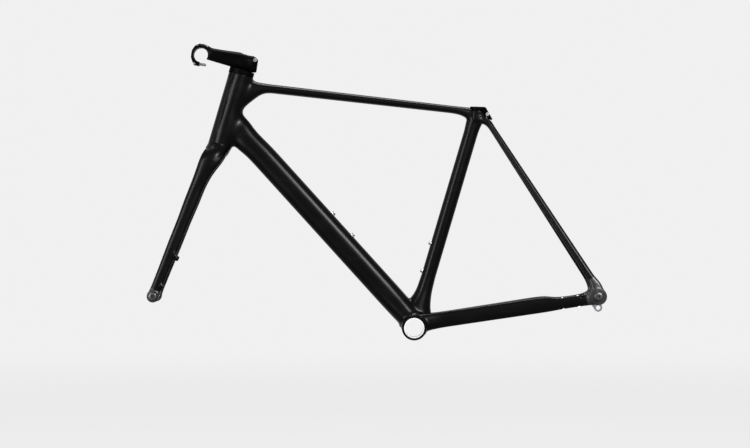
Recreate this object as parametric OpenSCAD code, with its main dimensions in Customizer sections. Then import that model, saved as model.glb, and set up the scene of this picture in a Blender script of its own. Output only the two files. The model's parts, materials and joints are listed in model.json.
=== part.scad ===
// Road bicycle frameset: frame, fork, headset, stem and the fittings that hold the wheels.
// X points to the rear wheel, Y to the drive side and Z up.
// The origin is the centre of the bottom bracket. All sizes are in millimetres.

/* [Frame geometry] */

// Height of the head tube's top above the bottom bracket
stack = 551; // [510:1:600]
// Distance of the head tube's top in front of the bottom bracket
reach = 386; // [360:1:410]
// Angle of the steering axis above the ground
head_angle = 73.3; // [71:0.1:75]
// Angle of the seat tube above the ground
seat_angle = 73.5; // [72:0.1:75.5]
// Height of the wheel axles above the bottom bracket
bottom_bracket_drop = 70; // [60:1:80]
// Distance from bottom bracket to rear axle
chain_stay_length = 410; // [405:1:440]
// Distance from bottom bracket to the top of the seat tube
seat_tube_length = 503; // [470:1:560]
// Distance of the seat tube's axis in front of the bottom bracket centre
seat_tube_offset = 1.8; // [0:0.1:6]
// Distance along the steering axis from crown seat to the front axle's foot
fork_length = 366; // [360:1:380]
// Distance of the front axle in front of the steering axis
fork_rake = 43; // [38:1:50]

/* [Tubes] */

// Distance of the top tube below the head tube's top
top_tube_drop = 14.6; // [12:0.2:20]
// Distance of the top tube below the seat tube's top
top_tube_seat_drop = 6.6; // [4:0.2:14]
// Depth of the top tube at the head tube
top_tube_depth = 20.4; // [17:0.2:26]
// Depth of the top tube at the seat tube
top_tube_rear_depth = 16.4; // [14:0.2:22]
// Width of the top tube at the head tube
top_tube_width = 36; // [28:1:42]
// Width of the top tube at the seat tube
top_tube_rear_width = 31; // [24:1:33]
// Distance of the down tube's axis below the head tube's top
down_tube_drop = 89; // [82:1:95]
// Height at which the down tube's axis passes over the bottom bracket
down_tube_rise = 11.7; // [8:0.1:16]
// Depth of the down tube
down_tube_depth = 55; // [44:1:60]
// Width of the down tube
down_tube_width = 46; // [38:1:54]
// Fore and aft depth of the seat tube
seat_tube_depth = 31.4; // [31:0.2:38]
// Width of the seat tube
seat_tube_width = 32; // [31:0.2:38]
// Depth of each chain stay
chain_stay_depth = 34; // [26:1:38]
// Width of each chain stay beside the tyre
chain_stay_width = 17.5; // [14:0.5:20]
// Depth of each seat stay at its top
seat_stay_depth = 12.2; // [10:0.2:16]
// Width of each seat stay
seat_stay_width = 15; // [12:0.5:18]
// Wall of every hollow tube
tube_wall = 1.8; // [1.2:0.1:2.6]
// Wall of the stays and of the fork's blades
stay_wall = 1.6; // [1:0.1:2.2]

/* [Bottom bracket] */

// Bore of the bottom bracket shell
bottom_bracket_bore = 41; // [37:0.5:46]
// Width of the bottom bracket shell
bottom_bracket_width = 86.5; // [86.5:0.5:92]
// Wall around the bottom bracket's bore
bottom_bracket_wall = 6.8; // [4:0.2:9]

/* [Head tube and headset] */

// Outer radius of the head tube at its top
head_tube_radius = 26.7; // [25:0.1:30]
// Outer radius of the head tube at its foot
head_tube_foot_radius = 26; // [25.6:0.1:30]
// Gap between head tube and fork crown
crown_gap = 1; // [0.8:0.1:2]
// Outer diameter of the upper bearing
upper_bearing_diameter = 41.8; // [41:0.1:43]
// Outer diameter of the lower bearing
lower_bearing_diameter = 47; // [46:0.1:48]
// Diameter of the steerer in the stem
steerer_diameter = 28.6; // [28.6:0.1:29]
// Diameter of the steerer at the crown
steerer_foot_diameter = 32; // [31:0.1:33]
// Wall of the steerer
steerer_wall = 2.4; // [1.8:0.1:3]
// Height of the headset's top cover
cover_height = 6.5; // [5:0.5:9]
// Height of each spacer
spacer_height = 6.6; // [5:0.2:10]
// Half the fore and aft length of a spacer
spacer_half_length = 28; // [24:0.5:30]
// Half the width of a spacer
spacer_half_width = 22.5; // [19:0.5:25]

/* [Stem] */

// Distance from steering axis to handlebar axis, square to the steering axis
stem_reach = 97; // [80:1:120]
// Distance of the handlebar axis below the middle of the stem's clamp
stem_fall = 13.8; // [8:0.2:18]
// Height of the stem's steerer clamp
stem_height = 38; // [36:0.5:42]
// Diameter of the handlebar clamp
bar_diameter = 31.8; // [31.8:0.1:35]
// Width of the handlebar clamp
bar_clamp_width = 43; // [38:0.5:48]

/* [Fork] */

// Depth of each fork blade below the crown
blade_depth = 30.8; // [26:0.2:34]
// Depth of each fork blade at the axle
blade_foot_depth = 22.8; // [20:0.2:25]
// Width of each fork blade below the crown
blade_width = 18; // [15:0.5:20]
// Radius left free for the tyre, from the axle
tyre_room_radius = 346; // [340:1:348]
// Width left free for the tyre
tyre_room_width = 41; // [36:0.5:43]

/* [Wheel fittings] */

// Distance between the faces that hold the front hub
front_hub_width = 100; // [99.5:0.1:101]
// Distance between the faces that hold the rear hub
rear_hub_width = 142; // [141.5:0.1:143]
// Thickness of the fork's dropouts
fork_dropout_thickness = 11; // [9:0.5:13]
// Thickness of the rear dropouts
rear_dropout_thickness = 9; // [8:0.5:11]
// Radius of the fork's dropouts
fork_dropout_radius = 13.4; // [12:0.2:16]
// Radius of the rear dropouts
rear_dropout_radius = 18.6; // [16:0.2:21]
// Diameter of the through axles
axle_diameter = 12; // [11.5:0.1:12.5]

/* [Seat clamp] */

// Diameter of the seat post's bore
seat_post_bore = 27.3; // [27:0.05:27.5]
// Wall of the seat tube's neck inside the collar
neck_wall = 1.6; // [1.2:0.1:2]
// Radius of the collar's ring
collar_radius = 19.6; // [18.5:0.1:21]
// Width of the collar's rear tail
collar_tail_width = 21; // [18:0.5:24]

/* [Fittings] */

// Distance between the two bolts of a bottle cage
bottle_bolt_pitch = 64; // [60:0.5:68]
// Distance of the lower bottle bolt up the down tube
bottle_on_down_tube = 234; // [190:1:280]
// Distance of the lower bottle bolt up the seat tube
bottle_on_seat_tube = 126; // [120:1:220]
// Distance between the two bolts of the front brake
front_brake_pitch = 70; // [68:0.5:72]
// Distance between the two bolts of the rear brake
rear_brake_pitch = 34; // [32:0.5:36]
// Distance from rear axle to the front bolt of the rear brake
rear_brake_reach = 79; // [74:0.5:84]
// Radial gap of a bolt in its hole
bolt_gap = 0.1; // [0.05:0.01:0.2]
// Radial gap of a turning or sliding fit
running_gap = 0.06; // [0.03:0.01:0.09]

/* [Hidden] */

$fn = 72;
ring_points = 32;
stay_points = 28;
mesh_fn = 64;
cut = 0.5;
seam_turn = 11;
bolt_radius = 2.5;
small_bolt_radius = 2;

// Points in the frame's middle plane, each [x, z]
head_base_angle = 90 - head_angle;
seat_base_angle = 90 - seat_angle;
function axis_up(angle) = [cos(angle), sin(angle)];
function axis_back(angle) = [sin(angle), -cos(angle)];
function head_point(up, forward) = [-reach, stack] + up * axis_up(head_angle) - forward * axis_back(head_angle);
function seat_point(up, back) = up * axis_up(seat_angle) + (back - seat_tube_offset) * axis_back(seat_angle);
function heading(a, b) = atan2(b[1] - a[1], b[0] - a[0]);
function span(a, b) = norm(b - a);
function along(a, b, distance) = a + (b - a) * distance / span(a, b);
function ease(t) = t * t * (3 - 2 * t);

crown_drop = (stack - bottom_bracket_drop + fork_rake * cos(head_angle)) / sin(head_angle) - fork_length;
head_tube_length = crown_drop - crown_gap;
crown_seat = head_point(-crown_drop, 0);
front_axle = head_point(-crown_drop - fork_length, fork_rake);
rear_axle = [sqrt(pow(chain_stay_length, 2) - pow(bottom_bracket_drop, 2)), bottom_bracket_drop];
bottom_bracket_radius = bottom_bracket_bore / 2 + bottom_bracket_wall;
sleeve_wall = 1.7;

// Axes of the tubes, as end points
top_tube_front = head_point(-top_tube_drop, 0);
top_tube_rear = seat_point(seat_tube_length - top_tube_seat_drop, 0);
down_tube_head = head_point(-down_tube_drop, 0);
down_tube_foot = [0, down_tube_rise];
seat_stay_top = seat_point(seat_tube_length - 15, 24);
seat_stay_foot = rear_axle + [-1, rear_dropout_radius];
chain_stay_root = [0, 8.3];
fork_shoulder = head_point(-crown_drop, 11);

// Distances of the joints between tubes and lugs, from the ends of the axes
top_tube_front_joint = 66;
top_tube_rear_joint = 52;
down_tube_head_joint = 118;
down_tube_foot_joint = 98;
seat_tube_foot_joint = 108;
seat_tube_top_joint = seat_tube_length - 50;
seat_stay_top_joint = 22;
seat_stay_foot_joint = 26;
chain_stay_root_joint = 62;
chain_stay_foot_joint = 26;
blade_top_joint = 262;
blade_foot_joint = 15;

// Side distances
rear_dropout_y = rear_hub_width / 2 + rear_dropout_thickness / 2;
fork_dropout_y = front_hub_width / 2 + fork_dropout_thickness / 2;
stay_root_y = tyre_room_width / 2 + 0.3 + chain_stay_width / 2;
blade_top_y = tyre_room_width / 2 + 3.2 + blade_width / 2;

// A station of a tube: [point, heading, half depth, half width, side distance, roundness exponent]
function superellipse(half, turn, exponent) = half * sign(turn) * pow(abs(turn), 2 / exponent);
function ring(station, inset, count) = [
    for (i = [0 : count - 1])
        let (turn = 360 * i / count)
        let (deep = superellipse(station[2] - inset, cos(turn), station[5]))
        let (wide = superellipse(station[3] - inset, sin(turn), station[5]))
        [
            station[0][0] + deep * sin(station[1]),
            station[4] + wide,
            station[0][1] - deep * cos(station[1])
        ]
];
function rings(stations, inset, count) = [
    for (station = stations) for (point = ring(station, inset, count)) point
];
function skin(rows, count, first, outward) = [
    for (row = [0 : rows - 2]) for (i = [0 : count - 1])
        let (a = first + row * count + i)
        let (b = first + row * count + (i + 1) % count)
        for (face = [[a, a + count, b], [b, a + count, b + count]])
            outward ? face : [face[2], face[1], face[0]]
];
function end_band(outer, inner, count, front) = [
    for (i = [0 : count - 1])
        let (j = (i + 1) % count)
        for (face = [[outer + i, outer + j, inner + i], [inner + i, outer + j, inner + j]])
            front ? face : [face[2], face[1], face[0]]
];
function end_fan(first, count, front) = [
    for (i = [1 : count - 2])
        front ? [first, first + i, first + i + 1] : [first, first + i + 1, first + i]
];

// A closed tube shape through its stations, in travel order
module solid_loft(stations, inset = 0, count = ring_points) {
    rows = len(stations);
    polyhedron(
        points = rings(stations, inset, count),
        faces = concat(
            skin(rows, count, 0, true),
            end_fan(0, count, true),
            end_fan((rows - 1) * count, count, false)
        ),
        convexity = 6
    );
}

// The same with a hollow of even wall, open at both ends
module hollow_loft(stations, wall, count = ring_points) {
    rows = len(stations);
    total = rows * count;
    polyhedron(
        points = concat(rings(stations, 0, count), rings(stations, wall, count)),
        faces = concat(
            skin(rows, count, 0, true),
            skin(rows, count, total, false),
            end_band(0, total, count, true),
            end_band(total - count, 2 * total - count, count, false)
        ),
        convexity = 8
    );
}

// The same stations with both end ones moved outward, for a hollow that runs past a joint
function moved(station, distance) = [
    station[0] + distance * axis_up(station[1]),
    station[1],
    station[2],
    station[3],
    station[4],
    station[5]
];
function drawn_out(stations, distance) = [
    for (i = [0 : len(stations) - 1])
        i == 0 ? moved(stations[i], -distance)
            : i == len(stations) - 1 ? moved(stations[i], distance)
            : stations[i]
];
function mirrored(stations) = [
    for (s = stations) [s[0], s[1], s[2], s[3], -s[4], s[5]]
];
function sided(stations, side) = side > 0 ? stations : mirrored(stations);

// Local frames: Z runs up the axis and X points to the rear
module on_head(up, forward = 0) {
    place = head_point(up, forward);
    translate([place[0], 0, place[1]]) rotate([0, head_base_angle, 0]) children();
}
module on_seat(up, back = 0) {
    place = seat_point(up, back);
    translate([place[0], 0, place[1]]) rotate([0, seat_base_angle, 0]) children();
}
module at_point(place, y, turn = 0) {
    translate([place[0], y, place[1]]) rotate([0, turn, 0]) children();
}
// Z of the children runs along +Y or -Y
module facing_side(side) {
    rotate([side > 0 ? -90 : 90, 0, 0]) children();
}
module ring_part(outer, inner, height, start = 0) {
    translate([0, 0, start]) difference() {
        cylinder(r = outer, h = height);
        translate([0, 0, -cut]) cylinder(r = inner, h = height + 2 * cut);
    }
}
// A socket head bolt: the head stands on z = 0 and the shank runs down
module socket_bolt(shank, length, head, head_height) {
    difference() {
        union() {
            cylinder(r = head, h = head_height);
            translate([0, 0, -length]) cylinder(r = shank, h = length + cut);
        }
        translate([0, 0, head_height * 0.4]) cylinder(r = head * 0.52, h = head_height, $fn = 6);
    }
}

// Stations of each tube
function top_tube_station(distance, deep = 0, lift = 0, round = 2.6) =
    let (t = distance / span(top_tube_front, top_tube_rear))
    [
        along(top_tube_front, top_tube_rear, distance) + [0, lift],
        heading(top_tube_front, top_tube_rear),
        (top_tube_depth + (top_tube_rear_depth - top_tube_depth) * t) / 2 + deep,
        (top_tube_width + (top_tube_rear_width - top_tube_width) * t) / 2,
        0,
        round
    ];
top_tube_span = span(top_tube_front, top_tube_rear);
top_tube_stations = [
    for (i = [0 : 4])
        top_tube_station(top_tube_front_joint
            + (top_tube_span - top_tube_front_joint - top_tube_rear_joint) * i / 4)
];

function down_tube_station(distance, deep = 0, wide = 0) = [
    along(down_tube_head, down_tube_foot, distance),
    heading(down_tube_head, down_tube_foot),
    down_tube_depth / 2 + deep,
    down_tube_width / 2 + wide,
    0,
    2.5
];
down_tube_span = span(down_tube_head, down_tube_foot);
down_tube_tilt = -heading(down_tube_head, down_tube_foot);
down_tube_stations = [
    for (i = [0 : 4])
        let (d = down_tube_head_joint
            + (down_tube_span - down_tube_head_joint - down_tube_foot_joint) * i / 4)
        down_tube_station(d, 0, i == 4 ? 1.5 : 0)
];

function seat_tube_station(up, front = 0, back = 0, wide = 0) = [
    seat_point(up, (back - front) / 2),
    seat_angle,
    (seat_tube_depth + front + back) / 2,
    seat_tube_width / 2 + wide,
    0,
    2.15
];
seat_tube_stations = [
    seat_tube_station(seat_tube_foot_joint, 0.6, 0.6, 0.8),
    seat_tube_station(seat_tube_foot_joint + 9),
    seat_tube_station(seat_tube_foot_joint + 60),
    seat_tube_station((seat_tube_foot_joint + seat_tube_top_joint) / 2),
    seat_tube_station(seat_tube_top_joint - 60),
    seat_tube_station(seat_tube_top_joint)
];

function seat_stay_station(distance) =
    let (length = span(seat_stay_top, seat_stay_foot))
    let (t = distance / length)
    [
        along(seat_stay_top, seat_stay_foot, distance),
        heading(seat_stay_top, seat_stay_foot),
        seat_stay_depth / 2 + 2.1 * t,
        seat_stay_width / 2 - 1.3 * t,
        10.4 + (rear_dropout_y - 10.4) * t,
        2.3
    ];
seat_stay_span = span(seat_stay_top, seat_stay_foot);
seat_stay_stations = [
    for (i = [0 : 6])
        seat_stay_station(seat_stay_top_joint
            + (seat_stay_span - seat_stay_top_joint - seat_stay_foot_joint) * i / 6)
];

chain_stay_span = span(chain_stay_root, rear_axle);
chain_stay_end = chain_stay_span - chain_stay_foot_joint;
// How much thinner than its root each chain stay is beside the brake, per side
stay_waist = 5.4;
function chain_stay_station(distance, slim = 0) =
    let (t = max(0, (distance - chain_stay_root_joint) / (chain_stay_end - chain_stay_root_joint)))
    [
        along(chain_stay_root, rear_axle, distance) + [0, -slim * 0.72],
        heading(chain_stay_root, rear_axle),
        chain_stay_depth / 2 - slim,
        chain_stay_width / 2 - 2.6 * t,
        stay_root_y + (rear_dropout_y - stay_root_y) * (0.45 * ease(t) + 0.55 * t),
        2.5
    ];
chain_stay_stations = [
    chain_stay_station(chain_stay_root_joint),
    chain_stay_station(chain_stay_root_joint + 36),
    chain_stay_station(chain_stay_root_joint + 80),
    chain_stay_station(chain_stay_root_joint + 130),
    chain_stay_station(chain_stay_end - 116),
    chain_stay_station(chain_stay_end - 84, stay_waist * 0.1),
    chain_stay_station(chain_stay_end - 62, stay_waist * 0.85),
    chain_stay_station(chain_stay_end - 36, stay_waist),
    chain_stay_station(chain_stay_end, stay_waist)
];

blade_span = span(front_axle, fork_shoulder);
function blade_station(up, deep, wide, y, round = 2.3) = [
    along(front_axle, fork_shoulder, up),
    heading(fork_shoulder, front_axle),
    deep,
    wide,
    y,
    round
];
function blade_y(up) =
    let (t = (blade_top_joint - up) / (blade_top_joint - blade_foot_joint))
    blade_top_y + (fork_dropout_y - blade_top_y) * t;
blade_stations = [
    blade_station(blade_top_joint, blade_depth / 2, blade_width / 2, blade_y(blade_top_joint)),
    blade_station(224, blade_depth / 2 - 0.2, blade_width / 2 - 0.5, blade_y(224)),
    blade_station(181, blade_depth / 2 - 1.8, blade_width / 2 - 1.3, blade_y(181)),
    blade_station(118, blade_foot_depth / 2 + 1.9, blade_width / 2 - 2.2, blade_y(118)),
    blade_station(66, blade_foot_depth / 2 + 0.6, blade_width / 2 - 2.9, blade_y(66)),
    blade_station(blade_foot_joint, blade_foot_depth / 2, fork_dropout_thickness / 2,
        blade_y(blade_foot_joint))
];

// Frame: main tubes
module top_tube() {
    color([0.07, 0.07, 0.075]) hollow_loft(top_tube_stations, tube_wall);
}

module on_down_tube(up) {
    at_point(along(down_tube_foot, down_tube_head, up), 0, down_tube_tilt)
        translate([0, 0, down_tube_depth / 2]) children();
}
insert_radius = 4.2;
insert_flange = 5.6;
insert_flange_height = 1.2;
insert_length = 11;
module insert_holes(pitch_step) {
    for (i = [0 : 1]) translate([pitch_step * i, 0, 0]) children();
}
module threaded_insert() {
    difference() {
        union() {
            cylinder(r = insert_flange, h = insert_flange_height);
            translate([0, 0, -insert_length]) cylinder(r = insert_radius, h = insert_length + cut);
        }
        translate([0, 0, -insert_length - cut])
            cylinder(r = bolt_radius + bolt_gap, h = insert_length + insert_flange_height + 2 * cut);
    }
}
module insert_hole() {
    translate([0, 0, -insert_length]) cylinder(r = insert_radius + bolt_gap, h = 2 * insert_length);
}

module down_tube() {
    color([0.07, 0.07, 0.075]) difference() {
        hollow_loft(down_tube_stations, tube_wall);
        for (i = [0 : 1]) on_down_tube(bottle_on_down_tube + bottle_bolt_pitch * i) insert_hole();
    }
}
module down_tube_bottle_inserts() {
    color([0.6, 0.6, 0.62])
        for (i = [0 : 1]) on_down_tube(bottle_on_down_tube + bottle_bolt_pitch * i) threaded_insert();
}
module down_tube_bottle_bolts() {
    color([0.12, 0.12, 0.12])
        for (i = [0 : 1]) on_down_tube(bottle_on_down_tube + bottle_bolt_pitch * i)
            translate([0, 0, insert_flange_height])
                socket_bolt(bolt_radius, insert_length, 4.5, 3.6);
}

module on_seat_tube_front(up) {
    place = seat_point(up, 0);
    at_point(place, 0, -seat_angle) translate([0, 0, seat_tube_depth / 2]) children();
}
post_room = 225;
lower_bore_radius = seat_post_bore / 2 + 0.5;
module seat_tube() {
    color([0.07, 0.07, 0.075]) difference() {
        solid_loft(seat_tube_stations);
        on_seat(post_room) cylinder(r = seat_post_bore / 2, h = seat_tube_length);
        on_seat(0) cylinder(r = lower_bore_radius, h = post_room);
        for (i = [0 : 1]) on_seat_tube_front(bottle_on_seat_tube + bottle_bolt_pitch * i)
            insert_hole();
        front_derailleur_holes();
    }
}
module seat_tube_bottle_inserts() {
    color([0.6, 0.6, 0.62])
        for (i = [0 : 1]) on_seat_tube_front(bottle_on_seat_tube + bottle_bolt_pitch * i)
            threaded_insert();
}
module seat_tube_bottle_bolts() {
    color([0.12, 0.12, 0.12])
        for (i = [0 : 1]) on_seat_tube_front(bottle_on_seat_tube + bottle_bolt_pitch * i)
            translate([0, 0, insert_flange_height])
                socket_bolt(bolt_radius, insert_length, 4.5, 3.6);
}

// Front derailleur mount on the drive side of the seat tube
derailleur_mount_up = seat_tube_foot_joint + 46;
derailleur_bolt_pitch = 16;
mount_width = 11;
mount_depth = 6;
module on_seat_tube_side(up) {
    on_seat(up) translate([0, seat_tube_width / 2, 0]) facing_side(1) children();
}
module front_derailleur_holes() {
    for (i = [-1, 1]) on_seat_tube_side(derailleur_mount_up + i * derailleur_bolt_pitch / 2)
        translate([0, 0, -4]) cylinder(r = small_bolt_radius + bolt_gap, h = 12);
}
module front_derailleur_mount() {
    color([0.1, 0.1, 0.1]) difference() {
        on_seat_tube_side(derailleur_mount_up) translate([-mount_width / 2, -14, 0])
            cube([mount_width, 28, mount_depth]);
        front_derailleur_holes();
        on_seat_tube_side(derailleur_mount_up) translate([-1.6, -5.2, -cut])
            cube([3.2, 10.4, mount_depth + 2 * cut]);
    }
}
module front_derailleur_bolts() {
    color([0.5, 0.5, 0.52])
        for (i = [-1, 1]) on_seat_tube_side(derailleur_mount_up + i * derailleur_bolt_pitch / 2)
            translate([0, 0, mount_depth]) socket_bolt(small_bolt_radius, mount_depth + 2, 3.5, 2.2);
}

// Head tube with the roots of the top tube and the down tube
head_top_stations = [
    [head_point(-34, 6), -2, 31, 20.5, 0, 2.4],
    [head_point(-31, -16), -5, 31.5, 20, 0, 2.4],
    top_tube_station(34, 12.6, -10.6, 2.5),
    top_tube_station(46, 5.4, -4.4, 2.5),
    top_tube_station(56, 1.6, -1.2, 2.5),
    top_tube_station(top_tube_front_joint)
];
function head_down_station(distance, deep, wide, lift, turn) = [
    along(down_tube_head, down_tube_foot, distance) + lift * [sin(down_tube_tilt), cos(down_tube_tilt)],
    turn - down_tube_tilt,
    deep,
    wide,
    0,
    2.5
];
head_down_stations = [
    [head_point(-108, 4), -24, 38, 21.5, 0, 2.3],
    [head_point(-109, -14), -28, 37.5, 22, 0, 2.3],
    [head_point(-111, -34), -34, 30.6, 22.2, 0, 2.4],
    head_down_station(64, 28.6, 22.4, -3.6, 7),
    head_down_station(88, 27, 22.8, -1, 3),
    down_tube_station(down_tube_head_joint)
];
bearing_seat_ledge = 1.9;
upper_seat_depth = 7.2;
lower_seat_depth = 8.2;
upper_bearing_height = 6.6;
lower_bearing_height = 7.4;
upper_seat_radius = upper_bearing_diameter / 2;
lower_seat_radius = lower_bearing_diameter / 2;
module head_tube_skin() {
    on_head(-head_tube_length)
        cylinder(r1 = head_tube_foot_radius, r2 = head_tube_radius, h = head_tube_length, $fn = mesh_fn);
}
head_wall = 3.2;
hose_window_radius = 8;
module head_tube() {
    color([0.07, 0.07, 0.075]) difference() {
        resize([0, 0, 0]) difference() {
            union() {
                head_tube_skin();
                difference() {
                    union() {
                        solid_loft(head_top_stations);
                        solid_loft(head_down_stations);
                    }
                    solid_loft(drawn_out(head_top_stations, 3), tube_wall + 0.6);
                    solid_loft(drawn_out(head_down_stations, 3), tube_wall + 0.6);
                }
            }
            on_head(-head_tube_length - 80) cylinder(r = head_tube_radius + 6, h = 80, $fn = mesh_fn);
            on_head(0) cylinder(r = spacer_half_length + 0.8, h = 40, $fn = mesh_fn);
        }
        on_head(-head_tube_length + lower_seat_depth + 5)
            cylinder(r = head_tube_foot_radius - head_wall,
                h = head_tube_length - lower_seat_depth - upper_seat_depth - 11);
        on_head(-head_tube_length - cut)
            cylinder(r = lower_seat_radius - bearing_seat_ledge, h = 40);
        on_head(-40) cylinder(r = upper_seat_radius - bearing_seat_ledge, h = 40 + cut);
        on_head(-head_tube_length - cut) cylinder(r = lower_seat_radius, h = lower_seat_depth + cut);
        on_head(-upper_seat_depth) cylinder(r = upper_seat_radius, h = upper_seat_depth + cut);
        at_point(head_point(-down_tube_drop - 16, 0), 0, 90 + down_tube_tilt)
            cylinder(r = hose_window_radius, h = 50);
    }
}

// Seat cluster: the top of the seat tube with the roots of top tube and seat stays
cluster_top_stations = [
    seat_tube_station(seat_tube_top_joint),
    seat_tube_station(seat_tube_top_joint + 16, 1.6, 1.4, 0.3),
    seat_tube_station(seat_tube_top_joint + 34, 1.5, 6, 0.8),
    seat_tube_station(seat_tube_length, 1.2, 5, 0.8)
];
cluster_tube_stations = [
    top_tube_station(top_tube_span - top_tube_rear_joint),
    top_tube_station(top_tube_span - 34, 0.9, -0.7),
    top_tube_station(top_tube_span - 22, 3.4, -3),
    top_tube_station(top_tube_span - 10, 8.5, -8)
];
cluster_stay_stations = [
    [seat_point(seat_tube_length - 19, 6), -66, 15, 11, 6, 2.3],
    [seat_point(seat_tube_length - 20.5, 17), -62, 11, 9.8, 8.4, 2.3],
    [along(seat_stay_top, seat_stay_foot, 9), -58, 7.4, 8.2, 11.2, 2.3],
    seat_stay_station(seat_stay_top_joint)
];
// Side outline of the collar, in the seat tube's frame: [back, up from the tube's top]
seam_outline = [
    [-18.3, -3.9],
    [-6, -2.6],
    [5.7, -1.2],
    [10.5, -2.4],
    [15.3, -4.7],
    [27.9, -14],
    [34.6, -14]
];
collar_top_outline = [
    [36.6, -13.2],
    [37, -11.2],
    [18.9, 6.1],
    [17.2, 8.4],
    [13.6, 9.6],
    [-17.6, 1.4]
];
module side_profile(outline, width) {
    on_seat(seat_tube_length) rotate([90, 0, 0])
        linear_extrude(height = width, center = true) polygon(outline);
}
module above_seam() {
    side_profile(concat(seam_outline, [[60, -8], [60, 40], [-18.3, 40]]), 80);
}
module seat_cluster() {
    color([0.07, 0.07, 0.075]) difference() {
        union() {
            resize([0, 0, 0]) difference() {
                union() {
                    solid_loft(cluster_top_stations);
                    solid_loft(cluster_tube_stations);
                    for (side = [-1, 1]) solid_loft(sided(cluster_stay_stations, side));
                }
                above_seam();
            }
            on_seat(seat_tube_length - 18) cylinder(r = seat_post_bore / 2 + neck_wall, h = neck_top + 18);
        }
        on_seat(0) cylinder(r = seat_post_bore / 2, h = seat_tube_length + 30);
        on_seat(seat_tube_length - 26) translate([0, -0.8, 0]) cube([16.4, 1.6, 60]);
    }
}
collar_bolt_back = 23.4;
collar_bolt_up = -4.2;
module on_collar_bolt() {
    on_seat(seat_tube_length + collar_bolt_up, collar_bolt_back) children();
}
collar_slit = 1.4;
neck_top = 1.2;
barrel_nut_radius = 3.6;
module seat_clamp_collar() {
    color([0.05, 0.05, 0.05]) difference() {
        intersection() {
            side_profile(concat(seam_outline, collar_top_outline), 60);
            union() {
                on_seat(seat_tube_length - 30) cylinder(r = collar_radius, h = 60);
                on_seat(seat_tube_length - 30) translate([0, -collar_tail_width / 2, 0])
                    cube([32, collar_tail_width, 60]);
                on_seat(seat_tube_length - 30) translate([32, 0, 0])
                    cylinder(r = collar_tail_width / 2, h = 60);
            }
        }
        on_seat(seat_tube_length - 30)
            cylinder(r = seat_post_bore / 2 + neck_wall + bolt_gap, h = 30 + neck_top + bolt_gap);
        on_seat(seat_tube_length - 30) cylinder(r = seat_post_bore / 2, h = 60);
        on_seat(seat_tube_length - 30) translate([10, -collar_slit / 2, 0])
            cube([40, collar_slit, 60]);
        on_collar_bolt() facing_side(-1) translate([0, 0, -20])
            cylinder(r = bolt_radius + bolt_gap, h = 40);
        on_collar_bolt() facing_side(-1) translate([0, 0, 6])
            cylinder(r = 4.3, h = 20);
        on_collar_bolt() facing_side(1) translate([0, 0, 5])
            cylinder(r = barrel_nut_radius + bolt_gap, h = 20);
    }
}
module seat_clamp_bolt() {
    color([0.4, 0.4, 0.42]) on_collar_bolt() facing_side(-1) translate([0, 0, 6])
        socket_bolt(bolt_radius, 14.5, 4.1, 4);
}
module seat_clamp_nut() {
    color([0.4, 0.4, 0.42]) on_collar_bolt() facing_side(1)
        ring_part(barrel_nut_radius, bolt_radius + bolt_gap, 5, 5);
}

// Bottom bracket shell with the roots of the tubes and chain stays
shell_down_stations = [
    down_tube_station(down_tube_span - down_tube_foot_joint, 0, 1.5),
    down_tube_station(down_tube_span - 70, 0, 4),
    down_tube_station(down_tube_span - 40, -0.4, 8),
    down_tube_station(down_tube_span - 8, -1.5, 11)
];
shell_seat_stations = [
    [seat_point(-6, 0), seat_angle, 30, 27, 0, 2.3],
    seat_tube_station(32, 24, 18, 9),
    seat_tube_station(52, 13, 8.4, 6.4),
    seat_tube_station(70, 4.8, 4.2, 4),
    seat_tube_station(86, 1.6, 1.8, 2),
    seat_tube_station(seat_tube_foot_joint, 0.6, 0.6, 0.8)
];
shell_stay_stations = [
    [along(chain_stay_root, rear_axle, 2), heading(chain_stay_root, rear_axle), 21, 14, 26, 2.5],
    [along(chain_stay_root, rear_axle, 30), heading(chain_stay_root, rear_axle), 19, 11, 29.4, 2.5],
    [along(chain_stay_root, rear_axle, 46), heading(chain_stay_root, rear_axle), 17.6, 9.3,
        stay_root_y, 2.5],
    chain_stay_station(chain_stay_root_joint)
];
module bottom_bracket_shell() {
    color([0.07, 0.07, 0.075]) difference() {
        resize([0, 0, 0]) difference() {
            union() {
                facing_side(1) translate([0, 0, -bottom_bracket_width / 2])
                    cylinder(r = bottom_bracket_radius, h = bottom_bracket_width, $fn = mesh_fn);
                solid_loft(shell_down_stations);
                solid_loft(shell_seat_stations);
                for (side = [-1, 1]) solid_loft(sided(shell_stay_stations, side));
            }
            solid_loft(drawn_out(shell_down_stations, 3), tube_wall + 1);
            at_point(rear_axle, -tyre_room_width / 2) rotate([-90, 0, 0])
                cylinder(r = tyre_room_radius - 2, h = tyre_room_width, $fn = 144);
        }
        on_seat(bottom_bracket_radius + 8) cylinder(r = lower_bore_radius, h = seat_tube_foot_joint);
        facing_side(1) translate([0, 0, -bottom_bracket_width / 2 - 10])
            cylinder(r = bottom_bracket_bore / 2 + sleeve_wall, h = bottom_bracket_width + 20);
    }
}
// Liner that the bottom bracket's cups press into
module bottom_bracket_sleeve() {
    color([0.3, 0.3, 0.31]) facing_side(1) translate([0, 0, -bottom_bracket_width / 2])
        ring_part(bottom_bracket_bore / 2 + sleeve_wall, bottom_bracket_bore / 2, bottom_bracket_width);
}

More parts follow.
